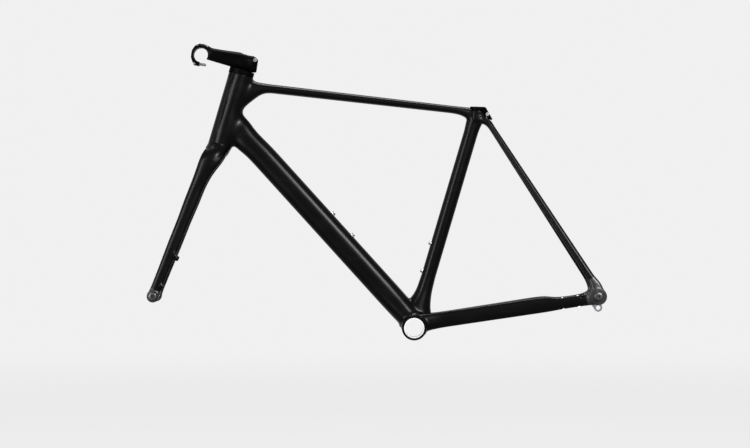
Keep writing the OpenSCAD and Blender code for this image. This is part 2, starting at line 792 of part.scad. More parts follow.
// Chain stays; the left one carries the rear brake
chain_stay_tilt = -heading(chain_stay_root, rear_axle);
module on_chain_stay(back_from_axle, y) {
    at_point(along(rear_axle, chain_stay_root, back_from_axle), y, chain_stay_tilt) children();
}
rear_brake_rear = rear_brake_reach - rear_brake_pitch;
function stay_y_at(back_from_axle) = chain_stay_station(chain_stay_span - back_from_axle)[4];
brake_front_y = stay_y_at(rear_brake_reach);
brake_rear_y = stay_y_at(rear_brake_rear);
sleeve_radius = 3.6;
sleeve_hole_radius = 2.75;
pad_middle = 3.6;
function pad_station(back_from_axle, deep, wide, outward) = [
    along(rear_axle, chain_stay_root, back_from_axle) + [0, pad_middle],
    heading(chain_stay_root, rear_axle),
    deep,
    wide,
    stay_y_at(back_from_axle) + outward,
    3.4
];
pad_stations = [
    pad_station(rear_brake_reach + 13, 4.6, 4.8, 0),
    pad_station(rear_brake_reach + 8, 6, 5.6, 0),
    pad_station(rear_brake_rear - 1, 6, 5.4, 0),
    pad_station(rear_brake_rear - 4.4, 5.4, 5, 0)
];
function brake_bolt_y(i) = i == 0 ? brake_front_y : brake_rear_y;
module rear_brake_columns(radius, low, high) {
    for (i = [0 : 1]) on_chain_stay(rear_brake_reach - rear_brake_pitch * i, -brake_bolt_y(i))
        translate([0, 0, low]) rotate([0, 0, seam_turn]) cylinder(r = radius, h = high - low);
}
module left_chain_stay() {
    color([0.07, 0.07, 0.075]) difference() {
        resize([0, 0, 0]) difference() {
            union() {
                solid_loft(mirrored(chain_stay_stations), 0, stay_points);
                solid_loft(mirrored(pad_stations), 0, stay_points);
            }
            solid_loft(mirrored(drawn_out(chain_stay_stations, 3)), stay_wall, stay_points);
        }
        rear_brake_columns(sleeve_radius + bolt_gap, -40, 40);
        rear_hose_port_hole();
    }
}
module right_chain_stay() {
    color([0.07, 0.07, 0.075]) hollow_loft(chain_stay_stations, stay_wall, stay_points);
}
sleeve_top = pad_middle + 6.2;
sleeve_foot = -15.4;
module rear_brake_sleeves() {
    color([0.6, 0.6, 0.62]) difference() {
        rear_brake_columns(sleeve_radius, sleeve_foot, sleeve_top);
        rear_brake_columns(sleeve_hole_radius, -40, 40);
    }
}
port_back = 34.8;
port_radius = 3.4;
port_seat = chain_stay_depth / 2 - stay_waist * 1.72 + 0.15;
module on_rear_hose_port() {
    on_chain_stay(port_back, -stay_y_at(port_back)) children();
}
module rear_hose_port_hole() {
    on_rear_hose_port() rotate([0, 0, seam_turn]) cylinder(r = port_radius + bolt_gap, h = 40);
}
module rear_hose_grommet() {
    color([0.04, 0.04, 0.04]) on_rear_hose_port() {
        ring_part(5.2, 2.5, 4.6, port_seat);
        ring_part(port_radius, 2.5, 4, port_seat - 4 + 0.01);
    }
}

// Seat stays
module left_seat_stay() {
    color([0.07, 0.07, 0.075]) hollow_loft(mirrored(seat_stay_stations), stay_wall, stay_points);
}
module right_seat_stay() {
    color([0.07, 0.07, 0.075]) hollow_loft(seat_stay_stations, stay_wall, stay_points);
}

// Rear dropouts
dropout_chain_stations = [
    chain_stay_station(chain_stay_end, stay_waist),
    [along(chain_stay_root, rear_axle, chain_stay_span - 17) + [0, -2.4], heading(chain_stay_root, rear_axle),
        14, rear_dropout_thickness / 2, rear_dropout_y, 2.8],
    [along(chain_stay_root, rear_axle, chain_stay_span - 2), heading(chain_stay_root, rear_axle),
        17.4, rear_dropout_thickness / 2, rear_dropout_y, 3]
];
dropout_seat_stations = [
    seat_stay_station(seat_stay_span - seat_stay_foot_joint),
    [along(seat_stay_top, seat_stay_foot, seat_stay_span - 8), heading(seat_stay_top, seat_stay_foot),
        11.4, rear_dropout_thickness / 2, rear_dropout_y, 2.6],
    [rear_axle + [1, 2], heading(seat_stay_top, seat_stay_foot),
        15.4, rear_dropout_thickness / 2, rear_dropout_y, 3]
];
module rear_dropout_blank(side) {
    resize([0, 0, 0]) union() {
        at_point(rear_axle, side * rear_dropout_y) facing_side(1)
            translate([0, 0, -rear_dropout_thickness / 2])
                cylinder(r = rear_dropout_radius, h = rear_dropout_thickness, $fn = mesh_fn);
        solid_loft(sided(dropout_chain_stations, side), 0, stay_points);
        solid_loft(sided(dropout_seat_stations, side), 0, stay_points);
    }
}
axle_radius = axle_diameter / 2;
axle_hole = axle_radius + running_gap;
module left_dropout() {
    color([0.09, 0.09, 0.095]) difference() {
        rear_dropout_blank(-1);
        at_point(rear_axle, -rear_dropout_y) facing_side(1) translate([0, 0, -20])
            cylinder(r = axle_hole, h = 40);
    }
}
hanger_barrel = 8;
hanger_screw_place = rear_axle + [-12.5, -1];
hanger_thickness = 6.5;
module right_dropout() {
    color([0.09, 0.09, 0.095]) difference() {
        rear_dropout_blank(1);
        at_point(rear_axle, rear_dropout_y) facing_side(1) translate([0, 0, -20])
            cylinder(r = hanger_barrel + bolt_gap, h = 40);
        at_point(hanger_screw_place, rear_dropout_y) facing_side(1) translate([0, 0, -20])
            cylinder(r = small_bolt_radius + bolt_gap, h = 40);
    }
}
derailleur_place = rear_axle + [9, -28];
hanger_y = rear_hub_width / 2 + rear_dropout_thickness;
module hanger_outline() {
    translate([rear_axle[0], rear_axle[1]]) circle(r = 12.5);
    translate([hanger_screw_place[0], hanger_screw_place[1]]) circle(r = 5.4);
    translate([derailleur_place[0], derailleur_place[1]]) circle(r = 9);
    polygon([
        rear_axle + [-11, -6],
        derailleur_place + [-8.6, 2.6],
        derailleur_place + [8.9, 1.4],
        rear_axle + [12.2, -2.4]
    ]);
}
module derailleur_hanger() {
    color([0.3, 0.3, 0.32]) difference() {
        union() {
            translate([0, hanger_y, 0]) rotate([90, 0, 0]) translate([0, 0, -hanger_thickness])
                linear_extrude(height = hanger_thickness) hanger_outline();
            at_point(rear_axle, rear_hub_width / 2) facing_side(1)
                cylinder(r = hanger_barrel, h = rear_dropout_thickness + 1);
        }
        at_point(rear_axle, 0) facing_side(1) cylinder(r = axle_hole, h = 120);
        at_point(derailleur_place, 0) facing_side(1) cylinder(r = 5, h = 120);
        at_point(hanger_screw_place, 0) facing_side(1)
            cylinder(r = small_bolt_radius + bolt_gap, h = 120);
    }
}
module hanger_bolt() {
    color([0.5, 0.5, 0.52]) at_point(hanger_screw_place, hanger_y + hanger_thickness) facing_side(1)
        socket_bolt(small_bolt_radius, hanger_thickness + rear_dropout_thickness - 1, 3.6, 2.2);
}
rear_head_height = 8;
module rear_axle_shaft() {
    color([0.1, 0.1, 0.1]) at_point(rear_axle, -hanger_y) facing_side(1) {
        difference() {
            union() {
                cylinder(r = axle_radius, h = hanger_y * 2 + hanger_thickness - 0.5);
                translate([0, 0, -rear_head_height]) cylinder(r = 9.4, h = rear_head_height - running_gap);
                translate([0, 0, -running_gap - 1]) cylinder(r = axle_radius, h = 2);
            }
            translate([0, 0, -rear_head_height - cut]) cylinder(r = 3.45, h = 7, $fn = 6);
            translate([0, 0, 14]) cylinder(r = 3.6, h = hanger_y * 2 + hanger_thickness);
        }
    }
}

// Headset
upper_ball_circle = 17.9;
upper_ball_radius = 1.45;
lower_ball_circle = 20.4;
lower_ball_radius = 1.55;
ball_gap = 0.05;
seat_gap = 0.03;
ball_count = 16;
module ball_groove(circle_radius, ball_radius, height) {
    rotate_extrude() translate([circle_radius, height]) circle(r = ball_radius + ball_gap, $fn = 32);
}
module balls(circle_radius, ball_radius, height) {
    for (i = [0 : ball_count - 1]) rotate([0, 0, 360 * i / ball_count])
        translate([circle_radius, 0, height]) sphere(r = ball_radius, $fn = 24);
}
upper_bearing_up = -upper_seat_depth;
lower_bearing_up = -head_tube_length + lower_seat_depth - lower_bearing_height;
upper_race_gap = 0.65;
lower_race_gap = 0.7;
module upper_outer_race() {
    color([0.62, 0.62, 0.64]) on_head(upper_bearing_up) difference() {
        ring_part(upper_seat_radius - seat_gap, upper_ball_circle + upper_race_gap, upper_bearing_height);
        ball_groove(upper_ball_circle, upper_ball_radius, upper_bearing_height / 2);
    }
}
module upper_inner_race() {
    color([0.62, 0.62, 0.64]) on_head(upper_bearing_up) difference() {
        ring_part(upper_ball_circle - upper_race_gap, steerer_diameter / 2 + 1, upper_bearing_height);
        ball_groove(upper_ball_circle, upper_ball_radius, upper_bearing_height / 2);
    }
}
module upper_bearing_balls() {
    color([0.8, 0.8, 0.82]) on_head(upper_bearing_up)
        balls(upper_ball_circle, upper_ball_radius, upper_bearing_height / 2);
}
module lower_outer_race() {
    color([0.62, 0.62, 0.64]) on_head(lower_bearing_up) difference() {
        ring_part(lower_seat_radius - seat_gap, lower_ball_circle + lower_race_gap, lower_bearing_height);
        ball_groove(lower_ball_circle, lower_ball_radius, lower_bearing_height / 2);
    }
}
module lower_inner_race() {
    color([0.62, 0.62, 0.64]) on_head(lower_bearing_up) difference() {
        ring_part(lower_ball_circle - lower_race_gap, steerer_foot_diameter / 2 + 0.9, lower_bearing_height);
        ball_groove(lower_ball_circle, lower_ball_radius, lower_bearing_height / 2);
    }
}
module lower_bearing_balls() {
    color([0.8, 0.8, 0.82]) on_head(lower_bearing_up)
        balls(lower_ball_circle, lower_ball_radius, lower_bearing_height / 2);
}
// The crown race stands on the crown and carries the lower inner race
module crown_race() {
    color([0.3, 0.3, 0.3]) on_head(-crown_drop) {
        race_seat = lower_bearing_up + crown_drop;
        ring_part(lower_ball_circle - lower_race_gap - 0.3, steerer_foot_diameter / 2 + 0.05, race_seat);
        ring_part(steerer_foot_diameter / 2 + 0.85, steerer_foot_diameter / 2 + 0.05, 3, race_seat);
    }
}
cover_base = 0.5;
cover_top = cover_base + cover_height;
module compression_ring() {
    color([0.3, 0.3, 0.3]) on_head(-3) {
        ring_part(steerer_diameter / 2 + 0.95, steerer_diameter / 2 + 0.05, 3);
        ring_part(upper_ball_circle - upper_race_gap - 0.4, steerer_diameter / 2 + 0.05,
            cover_base - upper_race_gap + 2.2, 3 + upper_bearing_up + upper_bearing_height);
    }
}
cover_stations = [
    [head_point(cover_base, 0), head_angle, head_tube_radius, head_tube_radius, 0, 2],
    [head_point(cover_base + 2.5, 0), head_angle, head_tube_radius + 0.2, head_tube_radius - 0.6, 0, 2],
    [head_point(cover_top, 0), head_angle, spacer_half_length, spacer_half_width, 0, 2.1]
];
cover_recess = 2.2;
module headset_cover() {
    color([0.06, 0.06, 0.06]) difference() {
        solid_loft(cover_stations, 0, 40);
        on_head(-5) cylinder(r = steerer_diameter / 2 + 0.05, h = 40);
        on_head(cover_base - cut) cylinder(r = upper_ball_circle - upper_race_gap - 0.3, h = cover_recess + cut);
    }
}
oval_points = [
    for (i = [0 : 47])
        let (turn = 360 * i / 48)
        [
            superellipse(spacer_half_length, cos(turn), 2.1),
            superellipse(spacer_half_width, sin(turn), 2.1)
        ]
];
module spacer(start) {
    on_head(start) difference() {
        linear_extrude(height = spacer_height) polygon(oval_points);
        translate([0, 0, -cut]) cylinder(r = steerer_diameter / 2 + 0.05, h = spacer_height + 2 * cut);
    }
}
module lower_spacer() {
    color([0.06, 0.06, 0.06]) spacer(cover_top);
}
module upper_spacer() {
    color([0.06, 0.06, 0.06]) spacer(cover_top + spacer_height);
}

// Stem
stem_base = cover_top + 2 * spacer_height;
stem_middle = stem_base + stem_height / 2;
clamp_point = head_point(stem_middle, 0);
bar_point = head_point(stem_middle - stem_fall, stem_reach);
stem_heading = heading(clamp_point, bar_point);
stem_span = span(clamp_point, bar_point);
bar_radius = bar_diameter / 2;
face_bolt_rise = bar_radius + 4.3;
face_bolt_side = 14.5;
block_half = face_bolt_rise + 4.9;
split_gap = 1.2;
function stem_station(distance, deep, wide, round, lift = 0) = [
    clamp_point + distance * axis_up(stem_heading) + lift * axis_back(stem_heading),
    stem_heading,
    deep,
    wide,
    0,
    round
];
stem_half = stem_height / 2;
stem_stations = [
    stem_station(-27.8, stem_half - 5.4, 7, 2.6, -6),
    stem_station(-26, stem_half - 3.4, 11, 2.8, -5),
    stem_station(-20, stem_half - 1.2, 17, 2.8, -3.6),
    stem_station(-8, stem_half + 0.6, 21.4, 2.8, -2),
    stem_station(4, stem_half + 0.6, 21.8, 2.8, -0.8),
    stem_station(22, stem_half, 20, 2.8),
    stem_station(48, stem_half - 0.4, 18.4, 2.8),
    stem_station(stem_span - 22, stem_half, 18.8, 3),
    stem_station(stem_span - 11, block_half - 1.4, bar_clamp_width / 2 - 0.2, 4),
    stem_station(stem_span - split_gap / 2, block_half, bar_clamp_width / 2, 5)
];
face_stations = [
    stem_station(stem_span + split_gap / 2, block_half, bar_clamp_width / 2, 5),
    stem_station(stem_span + 8, block_half - 0.4, bar_clamp_width / 2, 5),
    stem_station(stem_span + 14, block_half - 3.4, bar_clamp_width / 2 - 0.6, 4),
    stem_station(stem_span + 19.4, bar_radius - 2, bar_clamp_width / 2 - 1.6, 3.4),
    stem_station(stem_span + 21, bar_radius - 7, bar_clamp_width / 2 - 3, 3)
];
module on_bar() {
    at_point(bar_point, 0) children();
}
module on_stem(distance, lift = 0) {
    place = clamp_point + distance * axis_up(stem_heading) + lift * axis_back(stem_heading);
    at_point(place, 0, 90 - stem_heading) children();
}
module face_bolt_places() {
    for (rise = [-1, 1]) for (side = [-1, 1])
        on_stem(stem_span + 8.5, rise * face_bolt_rise) translate([0, side * face_bolt_side, 0]) children();
}
clamp_bolt_back = 20.6;
clamp_bolt_rises = [-8.5, 8.5];
clamp_bolt_seat = 8.2;
module clamp_bolt_places() {
    for (i = [0 : 1])
        on_head(stem_middle + clamp_bolt_rises[i] + 1, -clamp_bolt_back)
            facing_side(i == 0 ? 1 : -1) translate([0, 0, clamp_bolt_seat]) children();
}
stem_top_up = stem_middle + stem_half;
cap_height = 3;
cap_seat = stem_top_up - 6.4;
cap_radius = 15.6;
module stem_body() {
    color([0.06, 0.06, 0.06]) difference() {
        resize([0, 0, 0]) difference() {
            solid_loft(stem_stations);
            solid_loft([
                stem_station(22, stem_half - 4, 13, 2.6),
                stem_station(52, stem_half - 3.6, 14, 2.6),
                stem_station(stem_span - 26, stem_half - 3.6, 14, 2.6)
            ], 0, 24);
            on_head(stem_base - 40) translate([-spacer_half_length, -50, 0]) cube([100, 100, 40]);
            on_head(stem_middle - 40, -14) translate([0, -0.9, 0]) cube([40, 1.8, 80]);
        }
        on_head(stem_base - cut) cylinder(r = steerer_diameter / 2 + 0.05, h = 90);
        on_head(cap_seat) cylinder(r = cap_radius + bolt_gap, h = 40);
        on_bar() facing_side(1) translate([0, 0, -40]) cylinder(r = bar_radius, h = 80);
        face_bolt_places() translate([0, 0, -22]) cylinder(r = bolt_radius + bolt_gap, h = 60);
        clamp_bolt_places() {
            translate([0, 0, -24]) cylinder(r = bolt_radius + bolt_gap, h = 40);
            cylinder(r = 4.4, h = 30);
        }
    }
}
module stem_faceplate() {
    color([0.06, 0.06, 0.06]) difference() {
        solid_loft(face_stations);
        on_bar() facing_side(1) translate([0, 0, -40]) cylinder(r = bar_radius, h = 80);
        face_bolt_places() {
            translate([0, 0, -30]) cylinder(r = bolt_radius + bolt_gap, h = 60);
            cylinder(r = 4.4, h = 30);
        }
    }
}
module faceplate_bolts() {
    color([0.3, 0.3, 0.32]) face_bolt_places() socket_bolt(bolt_radius, 22, 4.2, 4.4);
}
module stem_clamp_bolts() {
    color([0.3, 0.3, 0.32]) clamp_bolt_places() socket_bolt(bolt_radius, 18, 4.2, 4.6);
}
module stem_top_cap() {
    color([0.06, 0.06, 0.06]) on_head(cap_seat) difference() {
        cylinder(r = cap_radius, h = cap_height);
        translate([0, 0, -cut]) cylinder(r = 3.1, h = 10);
        translate([0, 0, cap_height - 2]) cylinder(r = 5.3, h = 10);
    }
}
plug_drop = 12;
plug_length = 32;
module top_cap_bolt() {
    color([0.3, 0.3, 0.32]) on_head(cap_seat + cap_height - 2)
        socket_bolt(3, plug_drop + plug_length - 6, 5, 2.4);
}

// Steerer and the plug that the top cap pulls on
steerer_bore = steerer_diameter / 2 - steerer_wall;
steerer_sunk = 14;
steerer_top = cap_seat - 2;
taper_foot = -crown_drop + 26;
taper_top = -crown_drop + 74;
module fork_steerer() {
    color([0.05, 0.05, 0.05]) difference() {
        union() {
            on_head(-crown_drop - steerer_sunk)
                cylinder(r = steerer_foot_diameter / 2, h = taper_foot + crown_drop + steerer_sunk);
            on_head(taper_foot)
                cylinder(r1 = steerer_foot_diameter / 2, r2 = steerer_diameter / 2, h = taper_top - taper_foot);
            on_head(taper_top) cylinder(r = steerer_diameter / 2, h = steerer_top - taper_top);
        }
        on_head(-crown_drop - steerer_sunk - 1) cylinder(r = steerer_bore, h = 400);
    }
}
module expander_plug() {
    color([0.4, 0.4, 0.42]) on_head(cap_seat - plug_drop - plug_length) difference() {
        cylinder(r = steerer_bore - 0.05, h = plug_length);
        translate([0, 0, -cut]) cylinder(r = 3.1, h = plug_length + 1);
        translate([0, 0, plug_length - 4]) cylinder(r = 6, h = 10);
        translate([0, -0.6, -cut]) cube([20, 1.2, plug_length + 1]);
    }
}

// Fork
function crown_station(drop, forward, deep, wide, y, round) = [
    head_point(-crown_drop - drop, forward),
    head_angle + 180,
    deep,
    wide,
    y,
    round
];
crown_top_radius = head_tube_foot_radius - 1;
crown_stations = [
    crown_station(0, 0, crown_top_radius, crown_top_radius, 0, 2),
    crown_station(5, 0, crown_top_radius + 0.5, crown_top_radius + 1.8, 0, 2.05),
    crown_station(11, 0.6, 26, 31, 0, 2.15),
    crown_station(19, 2.6, 26.4, 37, 0, 2.3),
    crown_station(29, 6, 25.4, 40.6, 0, 2.5),
    crown_station(42, 9.4, 23.4, 41.4, 0, 2.7)
];
crown_leg_stations = [
    crown_station(22, 3.6, 25.8, 11, 26.6, 2.3),
    crown_station(30, 6.2, 25.2, 11.4, 29.8, 2.4),
    crown_station(44, 9.3, 23.3, 10.6, blade_top_y - 0.8, 2.4),
    crown_station(57, 12.6, 20.5, 10, blade_top_y, 2.4),
    crown_station(80, 16.9, 17, 9.4, blade_top_y, 2.3),
    blade_station(blade_top_joint, blade_depth / 2, blade_width / 2, blade_y(blade_top_joint))
];
module tyre_room() {
    at_point(front_axle, -tyre_room_width / 2) rotate([-90, 0, 0]) {
        cylinder(r = tyre_room_radius - 7, h = tyre_room_width, $fn = 180);
        translate([0, 0, 7]) cylinder(r = tyre_room_radius, h = tyre_room_width - 14, $fn = 180);
        translate([0, 0, 2]) cylinder(r = tyre_room_radius - 2.4, h = tyre_room_width - 4, $fn = 180);
    }
}
module fork_crown() {
    color([0.07, 0.07, 0.075]) difference() {
        resize([0, 0, 0]) difference() {
            union() {
                solid_loft(crown_stations);
                for (side = [-1, 1]) solid_loft(sided(crown_leg_stations, side), 0, stay_points);
            }
            tyre_room();
            for (side = [-1, 1])
                solid_loft(
                    drawn_out([for (i = [2 : 5]) sided(crown_leg_stations, side)[i]], 3),
                    stay_wall + 0.4,
                    stay_points
                );
        }
        on_head(-crown_drop - steerer_sunk) cylinder(r = steerer_foot_diameter / 2, h = 60);
        on_head(-crown_drop - 60) cylinder(r = steerer_bore, h = 100);
    }
}
blade_lean = atan2(fork_shoulder[0] - front_axle[0], fork_shoulder[1] - front_axle[1]);
blade_back = [cos(blade_lean), -sin(blade_lean)];
blade_splay = atan((fork_dropout_y - blade_top_y) / (blade_top_joint - blade_foot_joint));
// Z of the children runs rearward, square to the left blade
module on_left_blade(up) {
    at_point(along(front_axle, fork_shoulder, blade_foot_joint), -fork_dropout_y, blade_lean)
        rotate([-blade_splay, 0, 0]) translate([0, 0, (up - blade_foot_joint) / cos(blade_splay)])
            rotate([0, 90, 0]) children();
}
blade_up = [sin(blade_lean), cos(blade_lean)];
boss_tilt = 6;
boss_sleeve = 4;
boss_depth = 16;
boss_low_face = [27, 15];
boss_high_face = [
    boss_low_face[0] + front_brake_pitch * cos(boss_tilt),
    boss_low_face[1] + front_brake_pitch * sin(boss_tilt)
];
// A ring of a brake boss: height up the blade, distance rearward of its middle line
function boss_station(up, back, deep, wide) = [
    [
        front_axle[0] + blade_up[0] * up + blade_back[0] * back,
        front_axle[1] + blade_up[1] * up + blade_back[1] * back
    ],
    -blade_lean - boss_tilt,
    deep,
    wide,
    -blade_y(up),
    2.2
];
boss_low_stations = [
    boss_station(boss_low_face[0] + 0.8, 6, 7, 5.4),
    boss_station(boss_low_face[0], boss_low_face[1], 5.8, 5.2)
];
boss_high_stations = [
    boss_station(boss_high_face[0] + 4, 4, 11.5, 5.6),
    boss_station(boss_high_face[0] + 4, 9.4, 11, 5.6),
    boss_station(boss_high_face[0] + 2.2, 12, 8.4, 5.6),
    boss_station(boss_high_face[0] + 0.9, 15.6, 6.2, 5.4),
    boss_station(boss_high_face[0], boss_high_face[1], 5.2, 5.2)
];
// Z of the children runs out of the face that the brake bolts to
module on_boss_faces() {
    for (face = [boss_low_face, boss_high_face])
        on_left_blade(face[0]) translate([0, 0, face[1]]) rotate([0, boss_tilt, 0])
            rotate([0, 0, seam_turn]) children();
}
module left_fork_blade() {
    color([0.07, 0.07, 0.075]) difference() {
        hollow_loft(mirrored(blade_stations), stay_wall, stay_points);
        on_boss_faces() translate([0, 0, -boss_depth]) cylinder(r = boss_sleeve + bolt_gap, h = boss_depth + 2);
        front_hose_port_hole();
    }
}
module right_fork_blade() {
    color([0.07, 0.07, 0.075]) hollow_loft(blade_stations, stay_wall, stay_points);
}
// Threaded bosses that carry the front brake
module front_brake_bosses() {
    color([0.08, 0.08, 0.08]) difference() {
        union() {
            resize([0, 0, 0]) difference() {
                union() {
                    solid_loft(boss_low_stations, 0, stay_points);
                    solid_loft(boss_high_stations, 0, stay_points);
                }
                solid_loft(mirrored(blade_stations), 0, stay_points);
            }
            on_boss_faces() translate([0, 0, -boss_depth + 1]) cylinder(r = boss_sleeve, h = boss_depth - 2);
        }
        on_boss_faces() translate([0, 0, -boss_depth]) cylinder(r = bolt_radius, h = boss_depth + 2);
    }
}
front_port_up = boss_high_face[0] + 22;
front_port_seat = 13.4;
module on_front_hose_port() {
    on_left_blade(front_port_up) children();
}
module front_hose_port_hole() {
    on_front_hose_port() rotate([0, 0, seam_turn]) cylinder(r = port_radius + bolt_gap, h = 40);
}
module front_hose_grommet() {
    color([0.04, 0.04, 0.04]) on_front_hose_port() {
        ring_part(5, 2.5, 2.6, front_port_seat);
        ring_part(port_radius, 2.5, 4, front_port_seat - 4 + 0.01);
    }
}
fork_dropout_stations = [
    blade_stations[5],
    blade_station(9, blade_foot_depth / 2 + 0.8, fork_dropout_thickness / 2, fork_dropout_y, 2.8),
    blade_station(0, fork_dropout_radius - 0.4, fork_dropout_thickness / 2, fork_dropout_y, 3)
];
module fork_dropout_blank(side) {
    resize([0, 0, 0]) union() {
        at_point(front_axle, side * fork_dropout_y) facing_side(1)
            translate([0, 0, -fork_dropout_thickness / 2])
                cylinder(r = fork_dropout_radius, h = fork_dropout_thickness, $fn = mesh_fn);
        solid_loft(sided(fork_dropout_stations, side), 0, stay_points);
    }
}
module left_fork_dropout() {
    color([0.09, 0.09, 0.095]) difference() {
        fork_dropout_blank(-1);
        at_point(front_axle, -fork_dropout_y) facing_side(1) translate([0, 0, -20])
            cylinder(r = axle_hole, h = 40);
    }
}
front_insert = 8.4;
module right_fork_dropout() {
    color([0.09, 0.09, 0.095]) difference() {
        fork_dropout_blank(1);
        at_point(front_axle, fork_dropout_y) facing_side(1) translate([0, 0, -20])
            cylinder(r = front_insert + bolt_gap, h = 40);
    }
}
module front_axle_insert() {
    color([0.6, 0.6, 0.62]) at_point(front_axle, front_hub_width / 2) facing_side(1)
        ring_part(front_insert, axle_hole, fork_dropout_thickness);
}
front_head_height = 7;
module front_axle_shaft() {
    face = front_hub_width / 2 + fork_dropout_thickness;
    color([0.1, 0.1, 0.1]) at_point(front_axle, -face) facing_side(1) {
        difference() {
            union() {
                cylinder(r = axle_radius, h = 2 * face - 0.5);
                translate([0, 0, -front_head_height]) cylinder(r = 9, h = front_head_height - running_gap);
                translate([0, 0, -running_gap - 1]) cylinder(r = axle_radius, h = 2);
            }
            translate([0, 0, -front_head_height - cut]) cylinder(r = 3.45, h = 6.4, $fn = 6);
            translate([0, 0, 14]) cylinder(r = 3.6, h = 2 * face);
        }
    }
}

head_tube();
top_tube();
down_tube();
seat_tube();
seat_cluster();
bottom_bracket_shell();
bottom_bracket_sleeve();
left_chain_stay();
right_chain_stay();
left_seat_stay();
right_seat_stay();
left_dropout();
right_dropout();
derailleur_hanger();
hanger_bolt();
front_derailleur_mount();
front_derailleur_bolts();
down_tube_bottle_inserts();
down_tube_bottle_bolts();
seat_tube_bottle_inserts();
seat_tube_bottle_bolts();
seat_clamp_collar();
seat_clamp_bolt();
seat_clamp_nut();
rear_brake_sleeves();
rear_hose_grommet();
upper_outer_race();
lower_outer_race();
upper_bearing_balls();
lower_bearing_balls();
upper_inner_race();
lower_inner_race();
crown_race();
compression_ring();
headset_cover();
lower_spacer();
upper_spacer();
stem_body();
stem_faceplate();
faceplate_bolts();
stem_clamp_bolts();
stem_top_cap();
top_cap_bolt();
expander_plug();
fork_steerer();
fork_crown();
left_fork_blade();
right_fork_blade();
left_fork_dropout();
right_fork_dropout();
front_axle_insert();
front_brake_bosses();
front_hose_grommet();
front_axle_shaft();
rear_axle_shaft();
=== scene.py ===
"""Looks of a road bicycle frameset: moulded skins, fittings, finishes, lights and camera.

Lengths inside the builders are millimetres and angles are degrees. Meshes are made in metres,
in the frame's own axes: X to the rear wheel, Y to the chain side, Z up.
"""

import json
import logging
import math
from dataclasses import dataclass, field, replace
from enum import Enum
from typing import Callable, Iterable, Sequence

import bmesh
import bpy
import numpy as np
from mathutils import Matrix, Vector


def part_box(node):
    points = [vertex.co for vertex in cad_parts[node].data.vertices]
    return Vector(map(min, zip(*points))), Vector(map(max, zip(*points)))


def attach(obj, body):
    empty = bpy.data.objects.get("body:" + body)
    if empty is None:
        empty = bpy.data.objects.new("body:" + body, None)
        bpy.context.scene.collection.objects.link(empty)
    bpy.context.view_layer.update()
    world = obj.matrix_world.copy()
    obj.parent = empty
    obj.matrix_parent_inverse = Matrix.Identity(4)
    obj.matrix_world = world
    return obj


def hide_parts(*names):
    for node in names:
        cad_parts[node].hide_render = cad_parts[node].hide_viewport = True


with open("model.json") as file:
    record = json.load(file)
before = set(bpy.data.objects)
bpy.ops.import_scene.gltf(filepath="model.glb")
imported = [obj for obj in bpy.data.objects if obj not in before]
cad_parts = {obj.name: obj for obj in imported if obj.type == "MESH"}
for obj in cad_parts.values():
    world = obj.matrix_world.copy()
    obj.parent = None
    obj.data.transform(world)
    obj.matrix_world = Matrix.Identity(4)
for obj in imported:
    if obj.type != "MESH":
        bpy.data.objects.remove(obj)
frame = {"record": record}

LOG = logging.getLogger("frameset")
MM = 0.001
Point = tuple[float, float]
Solid = bpy.types.Object


class Body(Enum):
    """The rigid bodies that a piece can ride on."""

    FRAME = "frame"
    STEERING = "steering"
    FRONT_AXLE = "front_axle"
    REAR_AXLE = "rear_axle"


class Side(Enum):
    """The two sides of the bicycle, as the sign of Y."""

    LEFT = -1
    RIGHT = 1


# ---------------------------------------------------------------- layout


@dataclass(frozen=True)
class Layout:
    """The frame's main angles and lengths, and the points that follow from them."""

    stack: float = 551.0
    reach: float = 386.0
    head_angle: float = 73.3
    seat_angle: float = 73.5
    seat_tube_length: float = 503.0
    seat_tube_offset: float = 1.8
    crown_drop: float = 149.08
    crown_gap: float = 1.0
    rear_axle: Point = (403.98, 70.0)
    front_axle: Point = (-575.2, 70.0)

    def head_point(self, up: float, forward: float) -> Point:
        """Gives a point beside the steering axis.

        Args:
            up: distance up the axis from the head tube's top.
            forward: distance ahead of the axis.

        Returns:
            The point's X and Z.
        """
        turn = math.radians(self.head_angle)
        return (
            -self.reach + up * math.cos(turn) - forward * math.sin(turn),
            self.stack + up * math.sin(turn) + forward * math.cos(turn),
        )

    def seat_point(self, up: float, back: float = 0.0) -> Point:
        """Gives a point beside the seat tube's axis.

        Args:
            up: distance up the axis from the bottom bracket.
            back: distance behind the axis.

        Returns:
            The point's X and Z.
        """
        turn = math.radians(self.seat_angle)
        behind = back - self.seat_tube_offset
        return (
            up * math.cos(turn) + behind * math.sin(turn),
            up * math.sin(turn) - behind * math.cos(turn),
        )


def along(start: Point, end: Point, distance: float, lift: float = 0.0) -> Point:
    """Gives the point at a distance from start towards end, raised by lift.

    Args:
        start: where the line starts.
        end: where the line ends.
        distance: how far along it.
        lift: how far straight up from it.

    Returns:
        The point's X and Z.
    """
    share = distance / span(start, end)
    return (start[0] + (end[0] - start[0]) * share, start[1] + (end[1] - start[1]) * share + lift)


def span(start: Point, end: Point) -> float:
    """Gives the distance between two points."""
    return math.hypot(end[0] - start[0], end[1] - start[1])


def heading(start: Point, end: Point) -> float:
    """Gives the direction from start to end, in degrees above +X."""
    return math.degrees(math.atan2(end[1] - start[1], end[0] - start[0]))


def ease(share: float) -> float:
    """Gives a smooth step of a share from 0 to 1."""
    return share * share * (3 - 2 * share)


# ---------------------------------------------------------------- limbs


@dataclass(frozen=True)
class Ring:
    """One cross-section of a limb: a super-ellipse square to its heading.

    The half depth lies in the bicycle's middle plane and the half width along Y.
    """

    at: Point
    heading: float
    deep: float
    wide: float
    side: float = 0.0
    power: float = 2.4

    def mirrored(self) -> "Ring":
        """Gives the same ring on the other side of the bicycle."""
        return replace(self, side=-self.side)


